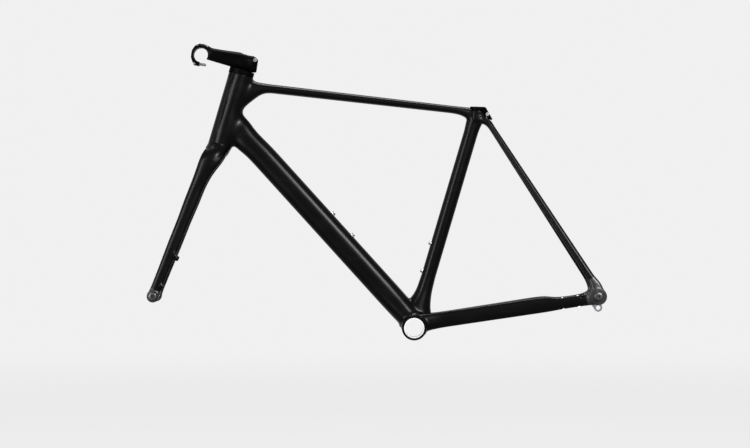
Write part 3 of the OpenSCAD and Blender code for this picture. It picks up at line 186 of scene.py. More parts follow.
class Shape:
    """A solid given by its signed distance, negative inside."""

    def plane_part(self, x: np.ndarray, z: np.ndarray) -> tuple[np.ndarray, ...]:
        """Works out all that depends on X and Z only, for side_part."""
        raise NotImplementedError

    def side_part(self, found: tuple[np.ndarray, ...], y: np.ndarray) -> np.ndarray:
        """Gives the distances from plane_part's arrays and Y."""
        raise NotImplementedError

    def distance(self, points: np.ndarray) -> np.ndarray:
        """Gives the signed distance of each row of points."""
        return self.side_part(self.plane_part(points[:, 0], points[:, 2]), points[:, 1])

    def reach(self) -> tuple[np.ndarray, np.ndarray]:
        """Gives the lowest and highest corner of the shape."""
        raise NotImplementedError


class Limb(Shape):
    """A tube's outer shape, swept smoothly through its rings."""

    STEP = 3.0
    GUIDE = 5.0
    ROOM = 70.0

    def __init__(self, rings: Sequence[Ring], soften: float = 7.0) -> None:
        """Samples the rings finely and rounds the corners between them.

        Args:
            rings: the cross-sections in travel order.
            soften: how far, in millimetres, a change of slope is spread out.
        """
        at = np.array([ring.at for ring in rings], float)
        turn = np.degrees(np.unwrap(np.radians([ring.heading for ring in rings])))
        rest = np.array([[r.deep, r.wide, r.side, r.power] for r in rings], float)
        stops = np.concatenate([[0], np.cumsum(np.linalg.norm(np.diff(at, axis=0), axis=1))])
        count = max(8, int(stops[-1] / self.STEP) + 1)
        places = np.linspace(0, stops[-1], count)
        table = np.column_stack([at, turn, rest])
        table = np.column_stack([np.interp(places, stops, column) for column in table.T])
        table = self.softened(table, soften / (places[1] - places[0]))
        self.at = table[:, :2]
        angle = np.radians(table[:, 2])
        self.ahead = np.column_stack([np.cos(angle), np.sin(angle)])
        self.across = np.column_stack([np.sin(angle), -np.cos(angle)])
        self.sizes = table[:, 3:]
        self.spacing = float(places[1] - places[0])
        self.corner = self.at.min(0) - self.ROOM
        count = np.ceil((self.at.max(0) + self.ROOM - self.corner) / self.GUIDE).astype(int) + 1
        x, z = (self.corner[i] + np.arange(count[i]) * self.GUIDE for i in range(2))
        nearest = [
            np.argmin((self.at[:, 0] - a) ** 2 + (self.at[:, 1] - z[:, None]) ** 2, axis=1) for a in x
        ]
        self.guide = np.array(nearest)

    @staticmethod
    def softened(table: np.ndarray, spread: float) -> np.ndarray:
        """Blurs each column along the limb and keeps both ends in place.

        Args:
            table: one row for each sample.
            spread: the blur's width in samples.

        Returns:
            The blurred table.
        """
        reach = int(3 * spread) + 1
        bell = np.exp(-0.5 * (np.arange(-reach, reach + 1) / max(spread, 1e-3)) ** 2)
        bell /= bell.sum()
        before = 2 * table[0] - table[np.minimum(np.arange(reach, 0, -1), len(table) - 1)]
        after = 2 * table[-1] - table[np.maximum(len(table) - 2 - np.arange(reach), 0)]
        longer = np.vstack([before, table, after])
        return np.column_stack([np.convolve(column, bell, mode="valid") for column in longer.T])

    def reach(self) -> tuple[np.ndarray, np.ndarray]:
        """Gives the lowest and highest corner of the limb."""
        deep, wide, side = self.sizes[:, 0:1], self.sizes[:, 1], self.sizes[:, 2]
        edges = np.vstack([self.at + self.across * deep, self.at - self.across * deep])
        low = np.array([edges[:, 0].min(), (side - wide).min(), edges[:, 1].min()])
        high = np.array([edges[:, 0].max(), (side + wide).max(), edges[:, 1].max()])
        return low, high

    def plane_part(self, x: np.ndarray, z: np.ndarray) -> tuple[np.ndarray, ...]:
        """Finds each point's cross-section, and where in it the point lies."""
        out = self.section(np.column_stack([np.ravel(x), np.ravel(z)]))
        return tuple(out.T.reshape((6,) + np.shape(x)))

    def section(self, spot: np.ndarray) -> np.ndarray:
        """Finds the cross-section through each spot of the middle plane.

        Args:
            spot: rows of X and Z.

        Returns:
            Rows of depth offset, overshoot past an end, half depth, half width, side and power.
        """
        last = len(self.at) - 1
        cell = np.rint((spot - self.corner) / self.GUIDE).astype(int)
        cell = np.clip(cell, 0, np.array(self.guide.shape) - 1)
        near = self.guide[cell[:, 0], cell[:, 1]]
        for _ in range(2):
            here = ((spot - self.at[near]) * self.ahead[near]).sum(1)
            near = np.clip(near + np.clip(np.rint(here / self.spacing), -3, 3).astype(int), 0, last)
        here = ((spot - self.at[near]) * self.ahead[near]).sum(1)
        other = np.clip(near + np.where(here > 0, 1, -1), 0, last)
        there = ((spot - self.at[other]) * self.ahead[other]).sum(1)
        change = here - there
        safe = np.where(np.abs(change) < 1e-9, 1.0, change)
        share = np.where(other == near, 0.0, np.clip(here / safe, 0, 1))
        at = self.at[near] * (1 - share)[:, None] + self.at[other] * share[:, None]
        across = self.across[near] * (1 - share)[:, None] + self.across[other] * share[:, None]
        sizes = self.sizes[near] * (1 - share)[:, None] + self.sizes[other] * share[:, None]
        travel = near * self.spacing + here
        past = np.maximum(-travel, travel - last * self.spacing)
        offset = ((spot - at) * across).sum(1)
        return np.column_stack([offset, past, sizes])

    def side_part(self, found: tuple[np.ndarray, ...], y: np.ndarray) -> np.ndarray:
        """Gives the distance to the cross-section's edge, near enough for a thin band."""
        offset, past, deep, wide, side, power = found
        u = np.abs(offset) / deep
        v = np.abs(y - side) / wide
        u = np.maximum(u, 1e-4)
        v = np.maximum(v, 1e-4)
        size = (u**power + v**power) ** (1 / power)
        slope = np.sqrt(
            ((u / size) ** (power - 1) / deep) ** 2 + ((v / size) ** (power - 1) / wide) ** 2
        )
        return np.maximum((size - 1) / slope, past)


@dataclass(frozen=True)
class Disc(Shape):
    """A round plate whose axis runs along Y, with rounded rims."""

    at: Point
    radius: float
    side: float
    half_width: float
    rim: float = 1.2

    def reach(self) -> tuple[np.ndarray, np.ndarray]:
        """Gives the lowest and highest corner of the plate."""
        size = np.array([self.radius, self.half_width, self.radius])
        middle = np.array([self.at[0], self.side, self.at[1]])
        return middle - size, middle + size

    def plane_part(self, x: np.ndarray, z: np.ndarray) -> tuple[np.ndarray, ...]:
        """Gives each point's distance past the plate's rim."""
        return (np.hypot(x - self.at[0], z - self.at[1]) - self.radius + self.rim,)

    def side_part(self, found: tuple[np.ndarray, ...], y: np.ndarray) -> np.ndarray:
        """Joins the rim's distance with the faces'."""
        outward = found[0]
        over = np.abs(y - self.side) - self.half_width + self.rim
        outside = np.hypot(np.maximum(outward, 0), np.maximum(over, 0))
        return outside + np.minimum(np.maximum(outward, over), 0) - self.rim


@dataclass(frozen=True)
class Joined:
    """A shape, how softly it flows into those before it, and whether it is cut away."""

    shape: Shape
    blend: float = 10.0
    cut: bool = False


@dataclass
class Skin:
    """The outer skin of moulded parts: shapes that flow into each other."""

    parts: list[Joined] = field(default_factory=list)

    def near(self, low: np.ndarray, high: np.ndarray) -> list[Joined]:
        """Gives the parts that come near a box."""
        found = []
        for part in self.parts:
            a, b = part.shape.reach()
            margin = 14.0
            if np.all(a - margin < high) and np.all(b + margin > low):
                found.append(part)
        return found

    @staticmethod
    def merged(parts: list[Joined], distances: Callable[[Shape], np.ndarray]) -> np.ndarray:
        """Combines the parts' distances with soft fillets.

        Args:
            parts: the parts in order.
            distances: gives one shape's distances.

        Returns:
            The distances of the whole.
        """
        total = None
        for part in parts:
            value = distances(part.shape)
            if total is None:
                total = value
                continue
            if part.cut:
                total = -Skin.soft_lower(-total, value, part.blend)
            else:
                total = Skin.soft_lower(total, value, part.blend)
        return total

    @staticmethod
    def soft_lower(a: np.ndarray, b: np.ndarray, blend: float) -> np.ndarray:
        """Gives the lower of two distances, rounded where they are close."""
        share = np.maximum(blend - np.abs(a - b), 0) / blend
        return np.minimum(a, b) - share**3 * blend / 6

    def distance(self, points: np.ndarray, parts: list[Joined]) -> np.ndarray:
        """Gives the distances of free points."""
        return self.merged(parts, lambda shape: shape.distance(points))

    def slope(self, points: np.ndarray, parts: list[Joined], reach: float = 0.5) -> np.ndarray:
        """Gives the distance's gradient at free points, over a short reach."""
        out = np.empty_like(points)
        for axis in range(3):
            step = np.zeros(3)
            step[axis] = reach
            ahead = self.distance(points + step, parts)
            out[:, axis] = (ahead - self.distance(points - step, parts)) / (2 * reach)
        return out

    def quick_slope(self, points: np.ndarray, parts: list[Joined], here: np.ndarray) -> np.ndarray:
        """Gives the gradient from the distances at the points and one step ahead."""
        reach = 0.3
        out = np.empty_like(points)
        for axis in range(3):
            step = np.zeros(3)
            step[axis] = reach
            out[:, axis] = (self.distance(points + step, parts) - here) / reach
        return out


# ---------------------------------------------------------------- meshing


@dataclass
class Patch:
    """A mesh in millimetres before it becomes a Blender object."""

    points: np.ndarray
    faces: np.ndarray


@dataclass(frozen=True)
class Plane:
    """A cutting plane: what lies ahead of it, along its normal, is cut off."""

    at: tuple[float, float, float]
    normal: tuple[float, float, float]


class Mesher:
    """Turns signed distances into an even quad mesh."""

    CORNERS = [(i, j, k) for i in (0, 1) for j in (0, 1) for k in (0, 1)]

    def __init__(self, skin: Skin, low: Sequence[float], high: Sequence[float], cell: float) -> None:
        """Sets up the grid that the skin is sampled on.

        Args:
            skin: the skin to mesh.
            low: the grid's lowest corner.
            high: the grid's highest corner.
            cell: the grid's spacing.
        """
        self.skin = skin
        self.cell = cell
        self.low = np.floor(np.array(low, float) / cell) * cell
        self.count = np.ceil((np.array(high, float) - self.low) / cell).astype(int) + 1
        self.parts = skin.near(self.low, self.low + self.count * cell)

    def samples(self) -> np.ndarray:
        """Samples the distance at every grid point."""
        axes = [self.low[i] + np.arange(self.count[i]) * self.cell for i in range(3)]
        x, z = np.meshgrid(axes[0], axes[2], indexing="ij")

        def distances(shape: Shape) -> np.ndarray:
            """Samples one shape: its plane part once, and its side part in full."""
            found = tuple(a[:, None, :] for a in shape.plane_part(x, z))
            return shape.side_part(found, axes[1][None, :, None])

        return self.skin.merged(self.parts, distances)

    def mesh(self, relax: int = 2) -> Patch:
        """Meshes the skin by surface nets and pulls the points onto it.

        Args:
            relax: how many rounds even out the quads.

        Returns:
            The mesh, open where the grid ends.
        """
        value = self.samples()
        inside = value < 0
        shape = np.array(value.shape) - 1
        total = np.zeros(shape, int)
        for i, j, k in self.CORNERS:
            total += inside[i : i + shape[0], j : j + shape[1], k : k + shape[2]]
        active = np.argwhere((total > 0) & (total < 8))
        number = -np.ones(shape, int)
        number[tuple(active.T)] = np.arange(len(active))
        points = self.crossings(value, active)
        faces = self.quads(inside, number)
        points = self.low + points * self.cell
        points = self.settled(points, faces, relax)
        return Patch(points, faces)

    def crossings(self, value: np.ndarray, active: np.ndarray) -> np.ndarray:
        """Places one point in each active cell, at the mean of its edge crossings."""
        total = np.zeros((len(active), 3))
        count = np.zeros(len(active))
        for a in self.CORNERS:
            for axis in range(3):
                if a[axis]:
                    continue
                b = list(a)
                b[axis] = 1
                va = value[tuple((active + a).T)]
                vb = value[tuple((active + b).T)]
                cross = (va < 0) != (vb < 0)
                share = np.where(cross, va / np.where(cross, va - vb, 1), 0)
                spot = active + np.array(a, float)
                spot[:, axis] += share
                total += spot * cross[:, None]
                count += cross
        return total / count[:, None]

    @staticmethod
    def quads(inside: np.ndarray, number: np.ndarray) -> np.ndarray:
        """Joins the cells round each crossed grid edge into a quad."""
        faces = []
        for axis in range(3):
            u, v = (axis + 1) % 3, (axis + 2) % 3
            first = np.moveaxis(inside, (axis, u, v), (0, 1, 2))
            cells = np.moveaxis(number, (axis, u, v), (0, 1, 2))
            a = first[:-1, 1:-1, 1:-1]
            b = first[1:, 1:-1, 1:-1]
            quad = np.stack(
                [cells[:, :-1, :-1], cells[:, 1:, :-1], cells[:, 1:, 1:], cells[:, :-1, 1:]], axis=-1
            )
            leaving = quad[a & ~b]
            entering = quad[~a & b][:, ::-1]
            faces += [leaving, entering]
        found = np.vstack(faces)
        return found[(found >= 0).all(1)]

    def settled(self, points: np.ndarray, faces: np.ndarray, relax: int) -> np.ndarray:
        """Evens the points out along the surface and pulls them onto it."""
        ends = np.vstack([faces[:, [0, 1]], faces[:, [1, 2]], faces[:, [2, 3]], faces[:, [3, 0]]])
        count = np.bincount(ends[:, 0], minlength=len(points)) + np.bincount(
            ends[:, 1], minlength=len(points)
        )
        for turn in range(relax + 1):
            if turn:
                mean = np.zeros_like(points)
                for axis in range(3):
                    mean[:, axis] = np.bincount(
                        ends[:, 0], points[ends[:, 1], axis], minlength=len(points)
                    ) + np.bincount(ends[:, 1], points[ends[:, 0], axis], minlength=len(points))
                mean /= np.maximum(count, 1)[:, None]
                points = points + 0.5 * (mean - points)
            points = self.pulled(points)
        return points

    def pulled(self, points: np.ndarray) -> np.ndarray:
        """Moves each point one step along the slope onto the surface."""
        value = self.skin.distance(points, self.parts)
        slope = self.skin.quick_slope(points, self.parts, value)
        size = np.maximum((slope**2).sum(1), 0.2)
        step = np.clip(value / size, -self.cell, self.cell)
        return points - step[:, None] * slope


def swept(skin: Skin, limb: Limb, first: Plane, last: Plane, around: int = 80) -> Patch:
    """Meshes a plain stretch of a limb as rings, and settles them on the whole skin.

    Args:
        skin: the skin that the rings are pulled onto.
        limb: the limb that is followed.
        first: the plane that the stretch starts from, facing away from it.
        last: the plane that the stretch ends at, facing away from it.
        around: how many points each ring has.

    Returns:
        The mesh of quads, open at both ends.
    """

    def ahead_of(plane: Plane) -> np.ndarray:
        """Gives how far ahead of a plane each of the limb's samples is."""
        gap = limb.at - np.array([plane.at[0], plane.at[2]])
        return gap @ np.array([plane.normal[0], plane.normal[2]])

    place = np.arange(len(limb.at), dtype=float)
    start = float(np.interp(0, -ahead_of(first), place))
    end = float(np.interp(0, ahead_of(last), place))
    stops = np.linspace(start, end, max(12, int((end - start) * limb.spacing / 4.0)))
    table = np.column_stack([limb.at, limb.across, limb.sizes])
    table = np.column_stack([np.interp(stops, place, column) for column in table.T])
    turns = 2 * np.pi * (np.arange(around) + 0.5) / around
    cos, sin = np.cos(turns), np.sin(turns)
    rings = []
    for x, z, across_x, across_z, deep, wide, side, power in table:
        u = deep * np.sign(cos) * np.abs(cos) ** (2 / power)
        v = side + wide * np.sign(sin) * np.abs(sin) ** (2 / power)
        rings.append(np.column_stack([x + across_x * u, v, z + across_z * u]))
    points = np.vstack(rings)
    parts = skin.near(points.min(0), points.max(0))
    for _ in range(2):
        value = skin.distance(points, parts)
        slope = skin.quick_slope(points, parts, value)
        points = points - (value / np.maximum((slope**2).sum(1), 0.2))[:, None] * slope
    for plane, row in ((first, slice(0, around)), (last, slice(len(points) - around, None))):
        normal = np.array(plane.normal)
        over = (points[row] - np.array(plane.at)) @ normal
        points[row] -= over[:, None] * normal
    faces = []
    ring = np.arange(around)
    after = np.roll(ring, -1)
    for i in range(len(stops) - 1):
        low, high = i * around, (i + 1) * around
        faces.append(np.column_stack([low + ring, low + after, high + after, high + ring]))
    return Patch(points, np.vstack(faces))


def capped(made: Solid) -> None:
    """Closes every open rim of a mesh with one face, and turns its faces outward."""
    shape = bmesh.new()
    shape.from_mesh(made.data)
    bmesh.ops.holes_fill(shape, edges=[e for e in shape.edges if e.is_boundary], sides=0)
    bmesh.ops.recalc_face_normals(shape, faces=shape.faces)
    shape.to_mesh(made.data)
    shape.free()


def build_object(name: str, patch: Patch) -> Solid:
    """Makes a Blender object from a mesh in millimetres."""
    mesh = bpy.data.meshes.new(name)
    faces = patch.faces
    mesh.vertices.add(len(patch.points))
    mesh.vertices.foreach_set("co", (patch.points * MM).astype(np.float32).ravel())
    sides = faces.shape[1]
    mesh.loops.add(faces.size)
    mesh.loops.foreach_set("vertex_index", faces.astype(np.int32).ravel())
    mesh.polygons.add(len(faces))
    mesh.polygons.foreach_set("loop_start", np.arange(0, faces.size, sides, dtype=np.int32))
    mesh.update(calc_edges=True)
    mesh.validate()
    made = bpy.data.objects.new(name, mesh)
    bpy.context.scene.collection.objects.link(made)
    return made


class Carver:
    """Cuts, drills, caps and smooths a mesh object."""

    @staticmethod
    def cut(made: Solid, planes: Sequence[Plane], bevel: float = 0.0) -> None:
        """Cuts an object off at each plane and closes it there.

        Args:
            made: the object to cut.
            planes: where to cut it.
            bevel: how far the new rims are rounded, in millimetres.
        """
        shape = bmesh.new()
        shape.from_mesh(made.data)
        for plane in planes:
            every = list(shape.verts) + list(shape.edges) + list(shape.faces)
            found = bmesh.ops.bisect_plane(
                shape,
                geom=every,
                dist=1e-7,
                plane_co=Vector(plane.at) * MM,
                plane_no=Vector(plane.normal),
                clear_outer=True,
            )
            rim = [e for e in found["geom_cut"] if isinstance(e, bmesh.types.BMEdge) and e.is_boundary]
            bmesh.ops.remove_doubles(
                shape, verts=list({v for e in rim for v in e.verts}), dist=0.00008
            )
            rim = [e for e in shape.edges if e.is_boundary and Carver.on_plane(e, plane)]
            if rim:
                bmesh.ops.contextual_create(shape, geom=rim) if Carver.single(rim) else (
                    bmesh.ops.holes_fill(shape, edges=rim, sides=0)
                )
            if bevel and rim:
                live = [e for e in rim if e.is_valid]
                bmesh.ops.bevel(
                    shape, geom=live, offset=bevel * MM, segments=2, affect="EDGES", profile=0.6
                )
        shape.to_mesh(made.data)
        shape.free()

    @staticmethod
    def trim(made: Solid, plane: Plane, radius: float) -> None:
        """Cuts off what lies ahead of a plane, but only within a radius of its middle."""
        side = (0.0, 1.0, 0.0)
        Carver.combine(made, [rod(Stand(plane.at, plane.normal, side), radius, 0, 90, 32)])

    @staticmethod
    def on_plane(edge: bmesh.types.BMEdge, plane: Plane) -> bool:
        """Tells whether an edge lies on a plane."""
        at, normal = Vector(plane.at) * MM, Vector(plane.normal).normalized()
        return all(abs((v.co - at).dot(normal)) < 2e-6 for v in edge.verts)

    @staticmethod
    def single(rim: Sequence[bmesh.types.BMEdge]) -> bool:
        """Tells whether the edges form one loop."""
        seen = {rim[0].verts[0]}
        edges = set(rim)
        queue = [rim[0].verts[0]]
        while queue:
            for edge in queue.pop().link_edges:
                if edge in edges:
                    for vert in edge.verts:
                        if vert not in seen:
                            seen.add(vert)
                            queue.append(vert)
        return len(seen) == len({v for e in rim for v in e.verts})

    @staticmethod
    def keep_near(made: Solid, spot: Sequence[float]) -> None:
        """Keeps only the connected piece of a mesh that comes nearest to a spot."""
        shape = bmesh.new()
        shape.from_mesh(made.data)
        goal = Vector(spot) * MM
        left = set(shape.verts)
        best: tuple[float, set] = (1e9, set())
        while left:
            start = next(iter(left))
            seen = {start}
            queue = [start]
            while queue:
                for edge in queue.pop().link_edges:
                    for vert in edge.verts:
                        if vert not in seen:
                            seen.add(vert)
                            queue.append(vert)
            left -= seen
            gap = min((v.co - goal).length for v in seen)
            if gap < best[0]:
                best = (gap, seen)
        bmesh.ops.delete(shape, geom=[v for v in shape.verts if v not in best[1]], context="VERTS")
        shape.to_mesh(made.data)
        shape.free()

    @staticmethod
    def combine(made: Solid, tools: Iterable[Solid], how: str = "DIFFERENCE") -> None:
        """Subtracts, adds or intersects tool objects, and removes them.

        Args:
            made: the object that is changed.
            tools: closed objects.
            how: the boolean's name.
        """
        for tool in tools:
            joint = made.modifiers.new("joint", "BOOLEAN")
            joint.object = tool
            joint.operation = how
            joint.solver = "MANIFOLD"
            bpy.context.view_layer.update()
            found = bpy.data.meshes.new_from_object(
                made.evaluated_get(bpy.context.evaluated_depsgraph_get())
            )
            made.modifiers.clear()
            if len(found.polygons) == 0:
                LOG.warning("empty boolean on %s", made.name)
            made.data = found
            bpy.data.objects.remove(tool)

    @staticmethod
    def smooth(made: Solid, angle: float = 32.0) -> None:
        """Shades an object smoothly except across edges sharper than an angle."""
        made.data.shade_smooth()
        made.data.set_sharp_from_angle(angle=math.radians(angle))

    @staticmethod
    def true_normals(made: Solid, skin: Skin, limit: float = 0.9) -> None:
        """Shades a skin piece by the skin's own slope, so that seams don't show.

        Args:
            made: the piece.
            skin: the skin it was cut from.
            limit: how closely a corner has to follow the skin to take its slope.
        """
        Carver.smooth(made)
        mesh = made.data
        points = np.empty(len(mesh.vertices) * 3)
        mesh.vertices.foreach_get("co", points)
        points = points.reshape(-1, 3) / MM
        parts = skin.near(points.min(0), points.max(0))
        slope = np.vstack(
            [skin.slope(points[i : i + 40000], parts, 0.9) for i in range(0, len(points), 40000)]
        )
        slope /= np.maximum(np.linalg.norm(slope, axis=1), 1e-6)[:, None]
        corner = np.empty(len(mesh.loops) * 3, np.float32)
        mesh.corner_normals.foreach_get("vector", corner)
        corner = corner.reshape(-1, 3)
        owner = np.empty(len(mesh.loops), np.int32)
        mesh.loops.foreach_get("vertex_index", owner)
        wanted = slope[owner]
        agree = (corner * wanted).sum(1) > limit
        corner[agree] = wanted[agree]
        mesh.normals_split_custom_set(corner.tolist())


# ---------------------------------------------------------------- plain solids


@dataclass(frozen=True)
class Stand:
    """A local frame: where its origin is, and which way its Z and X run."""

    origin: tuple[float, float, float]
    up: tuple[float, float, float]
    side: tuple[float, float, float] = (0.0, 1.0, 0.0)

    def matrix(self) -> Matrix:
        """Gives the frame as a matrix in metres, for meshes made in millimetres."""
        z = Vector(self.up).normalized()
        y = Vector(self.side).normalized()
        x = y.cross(z).normalized()
        y = z.cross(x)
        turn = Matrix((x, y, z)).transposed().to_4x4()
        return Matrix.Translation(Vector(self.origin) * MM) @ turn @ Matrix.Scale(MM, 4)

    def moved(self, x: float = 0.0, y: float = 0.0, z: float = 0.0) -> "Stand":
        """Gives the same frame moved along its own axes."""
        matrix = self.matrix()
        spot = matrix @ Vector((x, y, z))
        return replace(self, origin=tuple(spot / MM))

    def facing(self, side: Side) -> "Stand":
        """Gives a frame at the same place whose Z runs out to one side."""
        return Stand(self.origin, (0.0, float(side.value), 0.0), self.up)


def lathe(name: str, stand: Stand, profile: Sequence[Point], around: int = 64) -> Solid:
    """Turns a closed outline round the frame's Z.

    Args:
        name: the object's name.
        stand: the local frame.
        profile: radius and height of each corner, in order. A radius of 0 lies on the axis.
        around: how many steps the turn has.

    Returns:
        The closed object.
    """
    shape = bmesh.new()
    loops: list[list[bmesh.types.BMVert]] = []
    for radius, height in profile:
        if radius <= 1e-6:
            loops.append([shape.verts.new((0, 0, height))])
            continue
        turns = [2 * math.pi * i / around for i in range(around)]
        loops.append(
            [shape.verts.new((radius * math.cos(t), radius * math.sin(t), height)) for t in turns]
        )
    for first, second in zip(loops, loops[1:] + loops[:1]):
        for i in range(around):
            j = (i + 1) % around
            corners = [first[i % len(first)], first[j % len(first)]]
            corners += [second[j % len(second)], second[i % len(second)]]
            unique = list(dict.fromkeys(corners))
            if len(unique) > 2:
                shape.faces.new(unique)
    return finish_shape(name, shape, stand)


def prism(
    name: str, stand: Stand, outline: Sequence[Point], low: float, high: float, bevel: float = 0.0
) -> Solid:
    """Raises an outline along the frame's Z.

    Args:
        name: the object's name.
        stand: the local frame.
        outline: corners in the frame's XY plane.
        low: where the prism starts.
        high: where it ends.
        bevel: how far its two rims are rounded.

    Returns:
        The closed object.
    """
    shape = bmesh.new()
    floor = [shape.verts.new((x, y, low)) for x, y in outline]
    roof = [shape.verts.new((x, y, high)) for x, y in outline]
    rims = [shape.faces.new(floor), shape.faces.new(roof)]
    for i in range(len(outline)):
        j = (i + 1) % len(outline)
        shape.faces.new([floor[i], floor[j], roof[j], roof[i]])
    if bevel:
        edges = [e for face in rims for e in face.edges]
        bmesh.ops.bevel(shape, geom=edges, offset=bevel, segments=3, affect="EDGES", profile=0.5)
    return finish_shape(name, shape, stand)


def finish_shape(name: str, shape: bmesh.types.BMesh, stand: Stand) -> Solid:
    """Turns a shape's faces outward, places it and makes it an object."""
    bmesh.ops.recalc_face_normals(shape, faces=shape.faces)
    shape.transform(stand.matrix())
    mesh = bpy.data.meshes.new(name)
    shape.to_mesh(mesh)
    shape.free()
    made = bpy.data.objects.new(name, mesh)
    bpy.context.scene.collection.objects.link(made)
    Carver.smooth(made)
    return made


def joined(name: str, solids: Sequence[Solid]) -> Solid:
    """Makes one object of several, which stay separate solids in it."""
    shape = bmesh.new()
    for solid in solids:
        solid.data.transform(solid.matrix_world)
        shape.from_mesh(solid.data)
        bpy.data.objects.remove(solid)
    mesh = bpy.data.meshes.new(name)
    shape.to_mesh(mesh)
    shape.free()
    made = bpy.data.objects.new(name, mesh)
    bpy.context.scene.collection.objects.link(made)
    Carver.smooth(made)
    return made


def rod(stand: Stand, radius: float, low: float, high: float, around: int = 64) -> Solid:
    """Makes a plain closed cylinder, for drilling with."""
    profile = [(0, low), (radius, low), (radius, high), (0, high)]
    return lathe("drill", stand, profile, around)


def rounded(radius: float, low: float, high: float, rim: float) -> list[Point]:
    """Gives the outline of a disc with rounded rims, from axis to axis."""
    turns = [math.radians(a) for a in (0, 30, 60, 90)]
    lower = [(radius - rim + rim * math.sin(t), low + rim - rim * math.cos(t)) for t in turns]
    upper = [(radius - rim + rim * math.cos(t), high - rim + rim * math.sin(t)) for t in turns]
    return [(0, low)] + lower + upper + [(0, high)]


def ring_profile(inner: float, outer: float, low: float, high: float, rim: float) -> list[Point]:
    """Gives the closed outline of a ring with rounded rims."""
    solid = rounded(outer, low, high, rim)[1:-1]
    inside = [(inner, high - rim), (inner + rim, high), (inner + rim, low), (inner, low + rim)]
    return solid + inside[1:2] + inside[0:1] + inside[3:4] + inside[2:3]


def oval(half_x: float, half_y: float, power: float, count: int = 72) -> list[Point]:
    """Gives a super-ellipse outline."""
    points = []
    for i in range(count):
        turn = 2 * math.pi * i / count
        c, s = math.cos(turn), math.sin(turn)
        points.append(
            (
                half_x * math.copysign(abs(c) ** (2 / power), c),
                half_y * math.copysign(abs(s) ** (2 / power), s),
            )
        )
    return points


def six_sided(radius: float) -> list[Point]:
    """Gives a hexagon, such as a socket's."""
    turns = [math.radians(60 * i) for i in range(6)]
    return [(radius * math.cos(t), radius * math.sin(t)) for t in turns]


def socket_screw(
    stand: Stand, shank: float, length: float, head: float, head_height: float, rim: float = 0.4
) -> Solid:
    """Makes a socket head screw whose head stands on the frame's Z = 0.

    Args:
        stand: the local frame.
        shank: the shank's radius.
        length: how far the shank runs down.
        head: the head's radius.
        head_height: the head's height.
        rim: how far the head's rims are rounded.

    Returns:
        The screw with its hexagon socket and fine thread rings.
    """
    profile: list[Point] = [(0, -length), (shank * 0.8, -length), (shank, -length + shank * 0.2)]
    pitch = 0.8
    place = -length + 1.0
    while place < -max(2.0, length * 0.35):
        profile += [(shank, place), (shank - 0.22, place + pitch / 2)]
        place += pitch
    profile += [(shank, place), (shank, 0)]
    profile += rounded(head, 0, head_height, rim)[1:-1]
    socket = head * 0.62
    profile += [(socket, head_height), (socket - 0.15, head_height - 0.2), (0, head_height - 0.2)]
    made = lathe("screw", stand, profile, 40)
    key = prism("key", stand, six_sided(head * 0.52), head_height * 0.4, head_height + 1)
    Carver.combine(made, [key])
    Carver.smooth(made)
    return made


# ---------------------------------------------------------------- finishes


